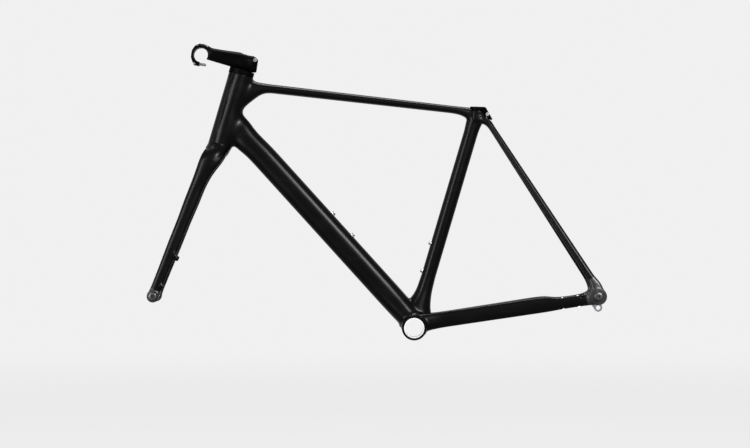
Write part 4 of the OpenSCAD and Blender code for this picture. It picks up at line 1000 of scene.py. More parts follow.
class Effects:
    """Shader node groups that several finishes share, each built once."""

    def __init__(self) -> None:
        """Starts with no groups made."""
        self.made: dict[str, bpy.types.NodeTree] = {}

    def group(
        self, name: str, inputs: dict[str, float], outputs: dict[str, str]
    ) -> tuple[bpy.types.NodeTree, bpy.types.Node, bpy.types.Node]:
        """Starts a group with named sockets.

        Args:
            name: the group's name.
            inputs: each number input and its usual value.
            outputs: each output and its socket type.

        Returns:
            The tree and its input and output nodes.
        """
        tree = bpy.data.node_groups.new(name, "ShaderNodeTree")
        for label, value in inputs.items():
            made = tree.interface.new_socket(name=label, in_out="INPUT", socket_type="NodeSocketFloat")
            made.default_value = value
        for label, kind in outputs.items():
            tree.interface.new_socket(name=label, in_out="OUTPUT", socket_type=kind)
        start = tree.nodes.new("NodeGroupInput")
        end = tree.nodes.new("NodeGroupOutput")
        self.made[name] = tree
        return tree, start, end

    @staticmethod
    def noise(tree: bpy.types.NodeTree, coords: bpy.types.NodeSocket, detail: float) -> bpy.types.Node:
        """Adds a noise texture fed by coordinates."""
        node = tree.nodes.new("ShaderNodeTexNoise")
        node.inputs["Detail"].default_value = detail
        tree.links.new(coords, node.inputs["Vector"])
        return node

    @staticmethod
    def calc(
        tree: bpy.types.NodeTree,
        how: str,
        first: bpy.types.NodeSocket | float,
        second: bpy.types.NodeSocket | float,
    ) -> bpy.types.NodeSocket:
        """Adds a math node.

        Args:
            tree: the tree it goes in.
            how: the operation's name.
            first: a socket or number.
            second: a socket or number.

        Returns:
            The result's socket.
        """
        node = tree.nodes.new("ShaderNodeMath")
        node.operation = how
        for i, value in enumerate((first, second)):
            if isinstance(value, (int, float)):
                node.inputs[i].default_value = value
            else:
                tree.links.new(value, node.inputs[i])
        return node.outputs[0]

    def orange_peel(self) -> bpy.types.NodeTree:
        """Gives the soft ripple of sprayed lacquer: a height and a gloss variation."""
        name = "OrangePeel"
        if name in self.made:
            return self.made[name]
        tree, start, end = self.group(
            name,
            {"Scale": 220.0, "Gloss Change": 0.05},
            {"Height": "NodeSocketFloat", "Gloss": "NodeSocketFloat"},
        )
        place = tree.nodes.new("ShaderNodeTexCoord").outputs["Object"]
        ripple = self.noise(tree, place, 2.0)
        tree.links.new(start.outputs["Scale"], ripple.inputs["Scale"])
        tree.links.new(ripple.outputs["Fac"], end.inputs["Height"])
        cloud = self.noise(tree, place, 4.0)
        cloud.inputs["Scale"].default_value = 14.0
        centred = self.calc(tree, "SUBTRACT", cloud.outputs["Fac"], 0.5)
        gloss = self.calc(tree, "MULTIPLY", centred, start.outputs["Gloss Change"])
        tree.links.new(gloss, end.inputs["Gloss"])
        return tree

    def fibre(self) -> bpy.types.NodeTree:
        """Gives the faint flecks of fibre under matt lacquer: a mask and a height."""
        name = "FibreFleck"
        if name in self.made:
            return self.made[name]
        tree, start, end = self.group(
            name,
            {"Scale": 90.0, "Stretch": 0.16, "Contrast": 2.2},
            {"Mask": "NodeSocketFloat", "Height": "NodeSocketFloat"},
        )
        place = tree.nodes.new("ShaderNodeTexCoord").outputs["Object"]
        spread = tree.nodes.new("ShaderNodeVectorMath")
        spread.operation = "MULTIPLY"
        tree.links.new(place, spread.inputs[0])
        size = tree.nodes.new("ShaderNodeCombineXYZ")
        tree.links.new(start.outputs["Stretch"], size.inputs["X"])
        size.inputs["Y"].default_value = 1.0
        size.inputs["Z"].default_value = 1.0
        tree.links.new(size.outputs["Vector"], spread.inputs[1])
        cells = tree.nodes.new("ShaderNodeTexVoronoi")
        cells.inputs["Randomness"].default_value = 0.85
        tree.links.new(spread.outputs["Vector"], cells.inputs["Vector"])
        tree.links.new(start.outputs["Scale"], cells.inputs["Scale"])
        grey = tree.nodes.new("ShaderNodeSeparateColor")
        tree.links.new(cells.outputs["Color"], grey.inputs["Color"])
        power = self.calc(tree, "POWER", grey.outputs["Red"], start.outputs["Contrast"])
        tree.links.new(power, end.inputs["Mask"])
        fine = self.noise(tree, spread.outputs["Vector"], 3.0)
        fine.inputs["Scale"].default_value = 900.0
        tree.links.new(fine.outputs["Fac"], end.inputs["Height"])
        return tree

    def blasted(self) -> bpy.types.NodeTree:
        """Gives the grain of blasted or cast metal: a height, a mask and a gloss change."""
        name = "BlastedGrain"
        if name in self.made:
            return self.made[name]
        tree, start, end = self.group(
            name,
            {"Scale": 1400.0, "Gloss Change": 0.12},
            {"Height": "NodeSocketFloat", "Mask": "NodeSocketFloat", "Gloss": "NodeSocketFloat"},
        )
        place = tree.nodes.new("ShaderNodeTexCoord").outputs["Object"]
        grain = self.noise(tree, place, 5.0)
        tree.links.new(start.outputs["Scale"], grain.inputs["Scale"])
        tree.links.new(grain.outputs["Fac"], end.inputs["Height"])
        patch = self.noise(tree, place, 6.0)
        patch.inputs["Scale"].default_value = 45.0
        tree.links.new(patch.outputs["Fac"], end.inputs["Mask"])
        centred = self.calc(tree, "SUBTRACT", patch.outputs["Fac"], 0.5)
        gloss = self.calc(tree, "MULTIPLY", centred, start.outputs["Gloss Change"])
        tree.links.new(gloss, end.inputs["Gloss"])
        return tree

    def turned(self) -> bpy.types.NodeTree:
        """Gives the fine lines that a lathe tool leaves across Y: a height and a mask."""
        name = "TurnedLines"
        if name in self.made:
            return self.made[name]
        tree, start, end = self.group(
            name, {"Scale": 1500.0}, {"Height": "NodeSocketFloat", "Mask": "NodeSocketFloat"}
        )
        place = tree.nodes.new("ShaderNodeTexCoord").outputs["Object"]
        squeeze = tree.nodes.new("ShaderNodeMapping")
        squeeze.inputs["Scale"].default_value = (0.06, 1.0, 0.06)
        tree.links.new(place, squeeze.inputs["Vector"])
        lines = self.noise(tree, squeeze.outputs["Vector"], 4.0)
        tree.links.new(start.outputs["Scale"], lines.inputs["Scale"])
        tree.links.new(lines.outputs["Fac"], end.inputs["Height"])
        tree.links.new(lines.outputs["Fac"], end.inputs["Mask"])
        return tree


EFFECTS = Effects()


@dataclass(frozen=True)
class Finish:
    """What every finish has: a name, two shades of one colour and a gloss."""

    name: str
    dark: tuple[float, float, float]
    light: tuple[float, float, float]
    roughness: float
    metallic: float = 0.0
    bump: float = 0.05
    bump_size: float = 0.00002
    specular: float = 0.5

    def effect(self) -> bpy.types.NodeTree:
        """Gives the group that makes this finish's surface."""
        return EFFECTS.blasted()

    def values(self) -> dict[str, float]:
        """Gives the group's own values for this finish."""
        return {}

    def constants(self) -> dict[str, float]:
        """Gives the shader sockets that are the same all over."""
        return {}

    def material(self) -> bpy.types.Material:
        """Gives the finish's material, made on first use.

        Returns:
            The material.
        """
        found = bpy.data.materials.get(self.name)
        if found is not None:
            return found
        made = bpy.data.materials.new(self.name)
        made.use_nodes = True
        tree = made.node_tree
        shader = next(n for n in tree.nodes if n.type == "BSDF_PRINCIPLED")
        shader.inputs["Metallic"].default_value = self.metallic
        shader.inputs["Specular IOR Level"].default_value = self.specular
        for label, value in self.constants().items():
            shader.inputs[label].default_value = value
        surface = tree.nodes.new("ShaderNodeGroup")
        surface.node_tree = self.effect()
        for label, value in self.values().items():
            surface.inputs[label].default_value = value
        mixing = tree.nodes.new("ShaderNodeMix")
        mixing.data_type = "RGBA"
        mixing.inputs["A"].default_value = (*self.dark, 1.0)
        mixing.inputs["B"].default_value = (*self.light, 1.0)
        if "Mask" in surface.outputs:
            tree.links.new(surface.outputs["Mask"], mixing.inputs["Factor"])
        else:
            tree.links.new(surface.outputs["Height"], mixing.inputs["Factor"])
        tree.links.new(mixing.outputs["Result"], shader.inputs["Base Color"])
        gloss = tree.nodes.new("ShaderNodeMath")
        gloss.operation = "ADD"
        gloss.inputs[1].default_value = self.roughness
        source = "Gloss" if "Gloss" in surface.outputs else "Height"
        if source == "Gloss":
            tree.links.new(surface.outputs["Gloss"], gloss.inputs[0])
        else:
            scale = tree.nodes.new("ShaderNodeMath")
            scale.operation = "MULTIPLY_ADD"
            scale.inputs[1].default_value = 0.12
            scale.inputs[2].default_value = -0.06
            tree.links.new(surface.outputs[source], scale.inputs[0])
            tree.links.new(scale.outputs[0], gloss.inputs[0])
        gloss.use_clamp = True
        tree.links.new(gloss.outputs[0], shader.inputs["Roughness"])
        bump = tree.nodes.new("ShaderNodeBump")
        bump.inputs["Strength"].default_value = self.bump
        bump.inputs["Distance"].default_value = self.bump_size
        tree.links.new(surface.outputs["Height"], bump.inputs["Height"])
        tree.links.new(bump.outputs["Normal"], shader.inputs["Normal"])
        self.extra(tree, shader)
        return made

    def extra(self, tree: bpy.types.NodeTree, shader: bpy.types.Node) -> None:
        """Adds what only this finish has."""


@dataclass(frozen=True)
class Lacquer(Finish):
    """Satin lacquer over carbon fibre, with faint flecks of fibre under it."""

    def effect(self) -> bpy.types.NodeTree:
        """Gives the lacquer's ripple."""
        return EFFECTS.orange_peel()

    def values(self) -> dict[str, float]:
        """Gives the ripple's size."""
        return {"Scale": 260.0, "Gloss Change": 0.07}

    def constants(self) -> dict[str, float]:
        """Gives the lacquer's gloss."""
        return {"IOR": 1.5}

    def extra(self, tree: bpy.types.NodeTree, shader: bpy.types.Node) -> None:
        """Lets the fibre show through the colour."""
        fibre = tree.nodes.new("ShaderNodeGroup")
        fibre.node_tree = EFFECTS.fibre()
        mixing = tree.nodes.new("ShaderNodeMix")
        mixing.data_type = "RGBA"
        mixing.inputs["A"].default_value = (*self.dark, 1.0)
        mixing.inputs["B"].default_value = (*self.light, 1.0)
        tree.links.new(fibre.outputs["Mask"], mixing.inputs["Factor"])
        tree.links.new(mixing.outputs["Result"], shader.inputs["Base Color"])


@dataclass(frozen=True)
class BlastedMetal(Finish):
    """Anodised or blackened metal with a fine even grain."""

    grain: float = 1400.0

    def values(self) -> dict[str, float]:
        """Gives the grain's size."""
        return {"Scale": self.grain}


@dataclass(frozen=True)
class TurnedMetal(Finish):
    """Bare metal with a lathe tool's fine lines."""

    def effect(self) -> bpy.types.NodeTree:
        """Gives the tool's lines."""
        return EFFECTS.turned()


CARBON = Lacquer(
    "satin_carbon",
    (0.0003, 0.0003, 0.00033),
    (0.0009, 0.0009, 0.001),
    0.28,
    bump=0.03,
    specular=0.05,
)
STEM_BLACK = BlastedMetal(
    "stem_black",
    (0.0002, 0.0002, 0.0002),
    (0.0006, 0.0006, 0.0006),
    0.38,
    bump=0.1,
    specular=0.01,
)
BLACK_ALLOY = BlastedMetal(
    "black_alloy",
    (0.0003, 0.0003, 0.00033),
    (0.001, 0.001, 0.001),
    0.32,
    bump=0.1,
    specular=0.05,
)
GREY_ALLOY = BlastedMetal("grey_alloy", (0.03, 0.03, 0.033), (0.05, 0.05, 0.053), 0.42, 0.8, 0.15)
BARE_ALLOY = TurnedMetal("bare_alloy", (0.1, 0.1, 0.103), (0.16, 0.16, 0.165), 0.42, 1.0, 0.2)
BOLT_STEEL = TurnedMetal("bolt_steel", (0.004, 0.004, 0.0043), (0.01, 0.01, 0.011), 0.5, 0.9, 0.2)
BEARING_STEEL = TurnedMetal("bearing_steel", (0.3, 0.3, 0.31), (0.42, 0.42, 0.43), 0.18, 1.0, 0.1)
AXLE_ALLOY = BlastedMetal("axle_alloy", (0.006, 0.006, 0.0065), (0.016, 0.016, 0.017), 0.36, 0.6, 0.12)
RUBBER = BlastedMetal(
    "port_rubber",
    (0.0018, 0.0018, 0.0018),
    (0.0036, 0.0036, 0.0036),
    0.7,
    bump=0.4,
    specular=0.1,
    grain=900.0,
)

SLOT_FINISH: dict[str, Finish] = {
    "carbon": CARBON,
    "black_alloy": BLACK_ALLOY,
    "grey_alloy": GREY_ALLOY,
    "bare_alloy": BARE_ALLOY,
    "bolt_steel": BOLT_STEEL,
    "bearing_steel": BEARING_STEEL,
    "axle_alloy": AXLE_ALLOY,
    "rubber": RUBBER,
}


def dress(made: Solid, finish: Finish) -> None:
    """Gives an object one finish all over."""
    made.data.materials.clear()
    made.data.materials.append(finish.material())


SLOTS = {row["node"]: row["material_slot"] for row in frame["record"]["subparts"]}


def place(made: Solid, body: Body, nodes: Sequence[str], finish: Finish | None = None) -> Solid:
    """Dresses a finished piece, lets it ride on a body and stand for its nodes.

    Args:
        made: the piece.
        body: the body it rides on.
        nodes: the record's nodes that it stands for.
        finish: its finish, or that of the first node's slot.

    Returns:
        The piece.
    """
    slot = SLOTS[nodes[0]]
    dress(made, finish or SLOT_FINISH[slot])
    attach(made, body.value)
    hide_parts(*nodes)
    LOG.info("%s: %d faces", made.name, len(made.data.polygons))
    return made


# ---------------------------------------------------------------- moulded parts


def node_box(node: str, margin: float) -> tuple[np.ndarray, np.ndarray]:
    """Gives a node's box in millimetres, grown by a margin."""
    low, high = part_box(node)
    return np.array(low) / MM - margin, np.array(high) / MM + margin


def upright(at: Point, turn: float, back: bool = False) -> Plane:
    """Gives a cutting plane square to a heading in the middle plane.

    Args:
        at: a point of the plane, X and Z.
        turn: the heading of its normal.
        back: whether the normal points the other way.

    Returns:
        The plane.
    """
    angle = math.radians(turn + (180 if back else 0))
    return Plane((at[0], 0.0, at[1]), (math.cos(angle), 0.0, math.sin(angle)))


@dataclass
class Moulded:
    """Parts moulded in one skin, cut into pieces at their joints."""

    layout: Layout
    skin: Skin = field(default_factory=Skin)

    def stretch(self, name: str, limb: int, first: Ring, last: Ring) -> Solid:
        """Makes a plain tube between two of its rings.

        Args:
            name: the piece's name.
            limb: which of the skin's parts it belongs to.
            first: the ring that it starts from.
            last: the ring that it ends at.

        Returns:
            The closed piece.
        """
        start = upright(first.at, first.heading, back=True)
        end = upright(last.at, last.heading)
        patch = swept(self.skin, self.skin.parts[limb].shape, start, end)
        made = build_object(name + "_skin", patch)
        capped(made)
        return made

    def add(self, rings: Sequence[Ring], blend: float, soften: float = 7.0, both: bool = False) -> None:
        """Adds a limb to the skin.

        Args:
            rings: its cross-sections.
            blend: how softly it flows into the rest.
            soften: how far its changes of slope are spread.
            both: whether it is mirrored to the other side too.
        """
        self.skin.parts.append(Joined(Limb(rings, soften), blend))
        if both:
            mirror = [ring.mirrored() for ring in rings]
            self.skin.parts.append(Joined(Limb(mirror, soften), blend))

    def piece(
        self, name: str, planes: Sequence[Plane], spot: Sequence[float], cell: float, node: str = ""
    ) -> Solid:
        """Meshes one node's stretch of the skin.

        Args:
            name: the piece's name.
            planes: where its neighbours begin.
            spot: a point on or in the piece.
            cell: the mesh's spacing.
            node: the node whose box it fills, if not of the same name.

        Returns:
            The closed piece.
        """
        low, high = node_box(node or name, 4 * cell + 3)
        made = build_object(name + "_skin", Mesher(self.skin, low, high, cell).mesh())
        Carver.cut(made, planes)
        Carver.keep_near(made, spot)
        return made

    def finished(self, made: Solid, body: Body, nodes: Sequence[str], finish: Finish | None = None) -> Solid:
        """Shades a piece by the skin and places it."""
        Carver.true_normals(made, self.skin)
        return place(made, body, nodes, finish)


@dataclass
class FrameSkin(Moulded):
    """The moulded frame: tubes, lugs, stays and rear dropouts."""

    top_tube_drop: float = 14.6
    top_tube_seat_drop: float = 6.6
    down_tube_drop: float = 89.0
    down_tube_rise: float = 11.7
    tyre_room: float = 41.0
    rear_side: float = 75.5
    stay_waist: float = 5.4

    def __post_init__(self) -> None:
        """Works out the tubes' axes and builds the skin."""
        lay = self.layout
        self.tt_front = lay.head_point(-self.top_tube_drop, 0)
        self.tt_rear = lay.seat_point(lay.seat_tube_length - self.top_tube_seat_drop)
        self.dt_head = lay.head_point(-self.down_tube_drop, 0)
        self.dt_foot = (0.0, self.down_tube_rise)
        self.ss_top = lay.seat_point(lay.seat_tube_length - 15, 24)
        self.ss_foot = (lay.rear_axle[0] - 1, lay.rear_axle[1] + 18.6)
        self.cs_root = (0.0, 8.3)
        self.tt_span = span(self.tt_front, self.tt_rear)
        self.dt_span = span(self.dt_head, self.dt_foot)
        self.ss_span = span(self.ss_top, self.ss_foot)
        self.cs_span = span(self.cs_root, lay.rear_axle)
        self.cs_end = self.cs_span - 26
        self.build()

    def top_tube(self, distance: float, deep: float = 0, lift: float = 0, power: float = 2.6) -> Ring:
        """Gives the top tube's cross-section at a distance from the steering axis."""
        share = distance / self.tt_span
        return Ring(
            along(self.tt_front, self.tt_rear, distance, lift),
            heading(self.tt_front, self.tt_rear),
            10.2 - 2.0 * share + deep,
            18.0 - 2.5 * share,
            power=power,
        )

    def down_tube(self, distance: float, deep: float = 0, wide: float = 0) -> Ring:
        """Gives the down tube's cross-section at a distance from the steering axis."""
        at = along(self.dt_head, self.dt_foot, distance)
        return Ring(at, heading(self.dt_head, self.dt_foot), 27.5 + deep, 23 + wide, power=2.5)

    def down_root(self, distance: float, deep: float, wide: float, lift: float, turn: float) -> Ring:
        """Gives a cross-section of the down tube's root at the head."""
        tilt = math.radians(-heading(self.dt_head, self.dt_foot))
        at = along(self.dt_head, self.dt_foot, distance)
        at = (at[0] + lift * math.sin(tilt), at[1] + lift * math.cos(tilt))
        return Ring(at, turn - math.degrees(tilt), deep, wide, power=2.5)

    def seat_tube(self, up: float, front: float = 0, back: float = 0, wide: float = 0) -> Ring:
        """Gives the seat tube's cross-section, grown forward, back or wide."""
        lay = self.layout
        at = lay.seat_point(up, (back - front) / 2)
        return Ring(at, lay.seat_angle, 15.7 + (front + back) / 2, 16 + wide, power=2.15)

    def seat_stay(self, distance: float) -> Ring:
        """Gives the right seat stay's cross-section."""
        share = distance / self.ss_span
        side = 10.4 + (self.rear_side - 10.4) * share
        at = along(self.ss_top, self.ss_foot, distance)
        turn = heading(self.ss_top, self.ss_foot)
        return Ring(at, turn, 6.1 + 2.1 * share, 7.5 - 1.3 * share, side, 2.3)

    def chain_stay(self, distance: float, slim: float = 0) -> Ring:
        """Gives the right chain stay's cross-section, thinner by slim on each edge."""
        share = max(0.0, (distance - 62) / (self.cs_end - 62))
        root = 29.55
        side = root + (self.rear_side - root) * (0.45 * ease(min(share, 1)) + 0.55 * share)
        at = along(self.cs_root, self.layout.rear_axle, distance, -slim * 0.72)
        turn = heading(self.cs_root, self.layout.rear_axle)
        return Ring(at, turn, 17 - slim, 8.75 - 2.6 * share, side, 2.5)

    def stay_side(self, from_axle: float) -> float:
        """Gives how far to the side a chain stay is, at a distance from the axle."""
        return self.chain_stay(self.cs_span - from_axle).side

    def build(self) -> None:
        """Builds the skin of the whole frame."""
        lay = self.layout
        barrel = [Ring(lay.head_point(9, 0), lay.head_angle + 180, 26.7, 26.7, power=2)]
        barrel += [Ring(lay.head_point(-158, 0), lay.head_angle + 180, 26, 26, power=2)]
        self.add(barrel, 1, 1)
        rings = [
            Ring(lay.head_point(-34, 6), -2, 31, 15.0),
            Ring(lay.head_point(-31, -16), -5, 31.5, 15.6),
            self.top_tube(34, 12.6, -10.6, 2.5),
            self.top_tube(46, 5.4, -4.4, 2.5),
            self.top_tube(56, 1.6, -1.2, 2.5),
        ]
        rings += [self.top_tube(66 + (self.tt_span - 118) * i / 4) for i in range(5)]
        for back, deep, lift in ((34, 0.9, -0.7), (22, 3.4, -3.0), (10, 8.5, -8.0)):
            rings.append(self.top_tube(self.tt_span - back, deep, lift))
        self.add(rings, 20, 9)
        rings = [
            Ring(lay.head_point(-108, 4), -24, 38, 17.5, power=2.3),
            Ring(lay.head_point(-109, -14), -28, 37.5, 19, power=2.3),
            Ring(lay.head_point(-111, -34), -34, 31.5, 21.2),
            self.down_root(64, 28.6, 22.4, -3.6, 7),
            self.down_root(88, 27, 22.8, -1, 3),
        ]
        rings += [self.down_tube(118 + (self.dt_span - 216) * i / 4) for i in range(4)]
        for back, deep, wide in ((98, 0, 1.5), (70, 0, 4), (40, -0.4, 8), (8, -1.5, 11)):
            rings.append(self.down_tube(self.dt_span - back, deep, wide))
        self.add(rings, 20, 10)
        rings = [Ring(lay.seat_point(-6), lay.seat_angle, 30, 27, power=2.3)]
        for up, front, back, wide in (
            (32, 24, 18, 9), (52, 13, 8.4, 6.4), (70, 4.8, 4.2, 4), (86, 1.6, 1.8, 2), (108, 0.6, 0.6, 0.8),
            (117, 0, 0, 0), (280, 0, 0, 0), (453, 0, 0, 0), (469, 1.6, 1.4, 0.3), (487, 1.5, 6, 0.8),
            (503, 1.2, 5, 0.8), (515, 1.2, 5, 0.8),
        ):
            rings.append(self.seat_tube(up, front, back, wide))
        self.add(rings, 8, 5)
        self.skin.parts.append(Joined(Disc((0.0, 0.0), 27.3, 0.0, 50.0), 10))
        self.add(self.chain_stay_rings(), 12, 9, both=True)
        rings = [
            Ring(lay.seat_point(484, 6), -66, 15, 11, 6, 2.3),
            Ring(lay.seat_point(482.5, 17), -62, 11, 9.8, 8.4, 2.3),
            Ring(along(self.ss_top, self.ss_foot, 9), -58, 7.4, 8.2, 11.2, 2.3),
        ]
        rings += [self.seat_stay(22 + (self.ss_span - 48) * i / 6) for i in range(7)]
        turn = heading(self.ss_top, self.ss_foot)
        near = along(self.ss_top, self.ss_foot, self.ss_span - 8)
        rings.append(Ring(near, turn, 11.4, 4.5, self.rear_side, 2.6))
        axle = lay.rear_axle
        rings.append(Ring((axle[0] + 1, axle[1] + 2), turn, 15.4, 4.5, self.rear_side, 3))
        self.add(rings, 8, 6, both=True)
        for side in Side:
            disc = Disc(axle, 18.6, side.value * self.rear_side, 4.5, 1.0)
            self.skin.parts.append(Joined(disc, 3))
        self.add(self.pad_rings(), 3, 3)
        tyre = Disc(axle, 344.0, 0.0, self.tyre_room / 2, 5.0)
        self.skin.parts.append(Joined(tyre, 4, cut=True))

    def chain_stay_rings(self) -> list[Ring]:
        """Gives the right chain stay from the bottom bracket to the dropout."""
        lay = self.layout
        turn = heading(self.cs_root, lay.rear_axle)
        rings = []
        for distance, deep, wide, side in ((2, 21, 14, 26), (30, 19, 11, 29.4), (46, 17.6, 9.3, 29.55)):
            at = along(self.cs_root, lay.rear_axle, distance)
            rings.append(Ring(at, turn, deep, wide, side, 2.5))
        rings += [self.chain_stay(d) for d in (62, 98, 142, 192, self.cs_end - 116)]
        for back, share in ((84, 0.1), (62, 0.85), (36, 1.0), (0, 1.0)):
            rings.append(self.chain_stay(self.cs_end - back, self.stay_waist * share))
        near = along(self.cs_root, lay.rear_axle, self.cs_span - 17, -2.4)
        rings.append(Ring(near, turn, 14, 4.5, self.rear_side, 2.8))
        last = along(self.cs_root, lay.rear_axle, self.cs_span - 2)
        rings.append(Ring(last, turn, 17.4, 4.5, self.rear_side, 3))
        return rings

    def pad_rings(self) -> list[Ring]:
        """Gives the flat seat of the rear brake, on the left chain stay."""
        rings = []
        turn = heading(self.cs_root, self.layout.rear_axle)
        for back, deep, wide in ((92, 4.6, 4.8), (87, 6, 5.6), (44, 6, 5.4), (40.6, 5.4, 5)):
            at = along(self.layout.rear_axle, self.cs_root, back, 3.6)
            rings.append(Ring(at, turn, deep, wide, -self.stay_side(back), 3.4))
        return rings

    def make(self) -> None:
        """Makes and places every piece of the frame."""
        self.make_head_tube()
        self.make_tubes()
        self.make_cluster()
        self.make_shell()
        self.make_stays()
        self.make_dropouts()

    def make_head_tube(self) -> None:
        """Makes the head tube, cut for the headset and drilled through."""
        lay = self.layout
        top, down = self.top_tube(66), self.down_tube(118)
        foot = lay.head_point(-lay.crown_drop + lay.crown_gap, 0)
        spot = lay.head_point(-70, 26)
        low, high = node_box("head_tube", 24)
        made = build_object("head_tube_skin", Mesher(self.skin, low, high, 2.0).mesh())
        box = [Plane((high[0] - 6, 0, 0), (1, 0, 0)), Plane((0, 0, low[2] + 6), (0, 0, -1))]
        box.append(Plane((0, 0, high[2] - 6), (0, 0, 1)))
        Carver.cut(made, box)
        Carver.trim(made, upright(top.at, top.heading), 45)
        Carver.trim(made, upright(down.at, down.heading), 60)
        Carver.trim(made, upright(foot, lay.head_angle, back=True), 32)
        Carver.keep_near(made, (spot[0], 0, spot[1]))
        stand = on_head(lay, 0)
        Carver.combine(made, [rod(stand, 28.8, 0, 40, 96)])
        bore = [(0, -160), (23.5, -160), (23.5, -139.9), (21.6, -139.9), (21.6, -135), (20, -130)]
        bore += [(20, -14), (19, -9), (19, -7.2), (20.9, -7.2), (20.9, 8), (0, 8)]
        Carver.combine(made, [lathe("bore", stand, bore, 96)])
        self.finished(made, Body.FRAME, ["head_tube"])

    def make_tubes(self) -> None:
        """Makes the top tube, down tube and seat tube."""
        for name, limb, first, last in (
            ("top_tube", 1, self.top_tube(66), self.top_tube(self.tt_span - 52)),
            ("down_tube", 2, self.down_tube(118), self.down_tube(self.dt_span - 98)),
            ("seat_tube", 3, self.seat_tube(108), self.seat_tube(453)),
        ):
            made = self.stretch(name, limb, first, last)
            if name == "seat_tube":
                Carver.combine(made, [rod(on_seat(self.layout, 0), 14.15, 60, 225)])
                Carver.combine(made, [rod(on_seat(self.layout, 0), 13.65, 224.9, 600)])
            self.finished(made, Body.FRAME, [name])

    def seam_outline(self) -> list[Point]:
        """Gives the collar's lower edge from the side: distance back, and up from the tube's top."""
        return [(-18.3, -3.9), (-6, -2.6), (5.7, -1.2), (10.5, -2.4), (15.3, -4.7), (27.9, -14), (34.6, -14)]

    def make_cluster(self) -> None:
        """Makes the seat cluster, cut along the collar's seam."""
        lay = self.layout
        low, top, stay = self.seat_tube(453), self.top_tube(self.tt_span - 52), self.seat_stay(22)
        planes = [upright(low.at, low.heading, back=True), upright(top.at, top.heading, back=True)]
        planes.append(upright(stay.at, stay.heading))
        spot = lay.seat_point(480, -16)
        outline = self.seam_outline() + [(60, -8), (60, 40), (-18.6, 40), (-18.6, -4)]
        length = lay.seat_tube_length
        above = Beyond(tuple(lay.seat_point(length + up, back) for back, up in outline), -1)
        whole = self.skin
        self.skin = Skin(whole.parts + [Joined(above, 3.0, cut=True)])
        made = self.piece("seat_cluster", planes, (spot[0], 0, spot[1]), 1.1)
        neck = rod(on_seat(lay, lay.seat_tube_length), 15.25, -18, 1.2)
        Carver.combine(made, [neck], "UNION")
        Carver.combine(made, [rod(on_seat(lay, 0), 13.65, 400, 600)])
        outline = [(0, -0.8), (16.4, -0.8), (16.4, 0.8), (0, 0.8)]
        slit = prism("slit", on_seat(lay, lay.seat_tube_length - 26), outline, 0, 60)
        Carver.combine(made, [slit])
        self.finished(made, Body.FRAME, ["seat_cluster"])
        self.skin = whole

    def make_shell(self) -> None:
        """Makes the bottom bracket shell, drilled for its sleeve."""
        down, seat, stay = self.down_tube(self.dt_span - 98), self.seat_tube(108), self.chain_stay(62)
        planes = [upright(down.at, down.heading, back=True), upright(seat.at, seat.heading)]
        planes.append(upright(stay.at, stay.heading))
        for side in Side:
            planes.append(Plane((0, side.value * 43.25, 0), (0, side.value, 0)))
        made = self.piece("bottom_bracket_shell", planes, (0, 43.25, 27.3), 2.0)
        across = Stand((0, 0, 0), (0, 1, 0), (0, 0, 1))
        Carver.combine(made, [rod(across, 22.2, -60, 60, 96)])
        Carver.combine(made, [rod(on_seat(self.layout, 0), 14.15, 35, 200)])
        self.finished(made, Body.FRAME, ["bottom_bracket_shell"])

    def make_stays(self) -> None:
        """Makes the chain stays and seat stays."""
        for side in Side:
            word = side.name.lower()
            first, last = self.chain_stay(62), self.chain_stay(self.cs_end, self.stay_waist)
            planes = [upright(first.at, first.heading, back=True), upright(last.at, last.heading)]
            spot = (
                (first.at[0] + last.at[0]) / 2,
                side.value * (first.side + last.side) / 2,
                (first.at[1] + last.at[1]) / 2,
            )
            name = f"{word}_chain_stay"
            made = self.piece(name, planes, spot, 1.4)
            if side is Side.LEFT:
                self.drill_brake_holes(made)
            self.finished(made, Body.FRAME, [name])
            name = f"{word}_seat_stay"
            limb = 7 if side is Side.RIGHT else 8
            made = self.stretch(name, limb, self.seat_stay(22), self.seat_stay(self.ss_span - 26))
            self.finished(made, Body.FRAME, [name])

    def brake_stands(self) -> list[Stand]:
        """Gives the frames of the two rear brake holes: Z runs up out of the seat."""
        stands = []
        turn = math.radians(heading(self.cs_root, self.layout.rear_axle))
        for back in (79.0, 45.0):
            at = along(self.layout.rear_axle, self.cs_root, back)
            stands.append(
                Stand((at[0], -self.stay_side(back), at[1]), (-math.sin(turn), 0, math.cos(turn)))
            )
        return stands

    def port_stand(self) -> Stand:
        """Gives the frame of the rear brake hose's port."""
        turn = math.radians(heading(self.cs_root, self.layout.rear_axle))
        at = along(self.layout.rear_axle, self.cs_root, 34.8)
        return Stand((at[0], -self.stay_side(34.8), at[1]), (-math.sin(turn), 0, math.cos(turn)))

    def drill_brake_holes(self, made: Solid) -> None:
        """Drills the left chain stay for the brake's sleeves and the hose."""
        for stand in self.brake_stands():
            Carver.combine(made, [rod(stand, 3.7, -40, 40, 40)])
        Carver.combine(made, [rod(self.port_stand(), 3.5, 0, 40, 40)])

    def make_dropouts(self) -> None:
        """Makes the two rear dropouts."""
        stay, seat = self.chain_stay(self.cs_end, self.stay_waist), self.seat_stay(self.ss_span - 26)
        planes = [upright(stay.at, stay.heading, back=True), upright(seat.at, seat.heading, back=True)]
        axle = self.layout.rear_axle
        for side in Side:
            name = f"{side.name.lower()}_dropout"
            spot = (axle[0] + 17, side.value * self.rear_side, axle[1])
            made = self.piece(name, planes, spot, 1.3)
            across = Stand((axle[0], 0, axle[1]), (0, 1, 0), (0, 0, 1))
            radius = 6.06 if side is Side.LEFT else 8.1
            Carver.combine(made, [rod(across, radius, -120, 120)])
            self.finished(made, Body.FRAME, [name])


def on_head(lay: Layout, up: float, forward: float = 0) -> Stand:
    """Gives a frame on the steering axis: Z runs up it and X to the rear."""
    at = lay.head_point(up, forward)
    turn = math.radians(lay.head_angle)
    return Stand((at[0], 0, at[1]), (math.cos(turn), 0, math.sin(turn)))


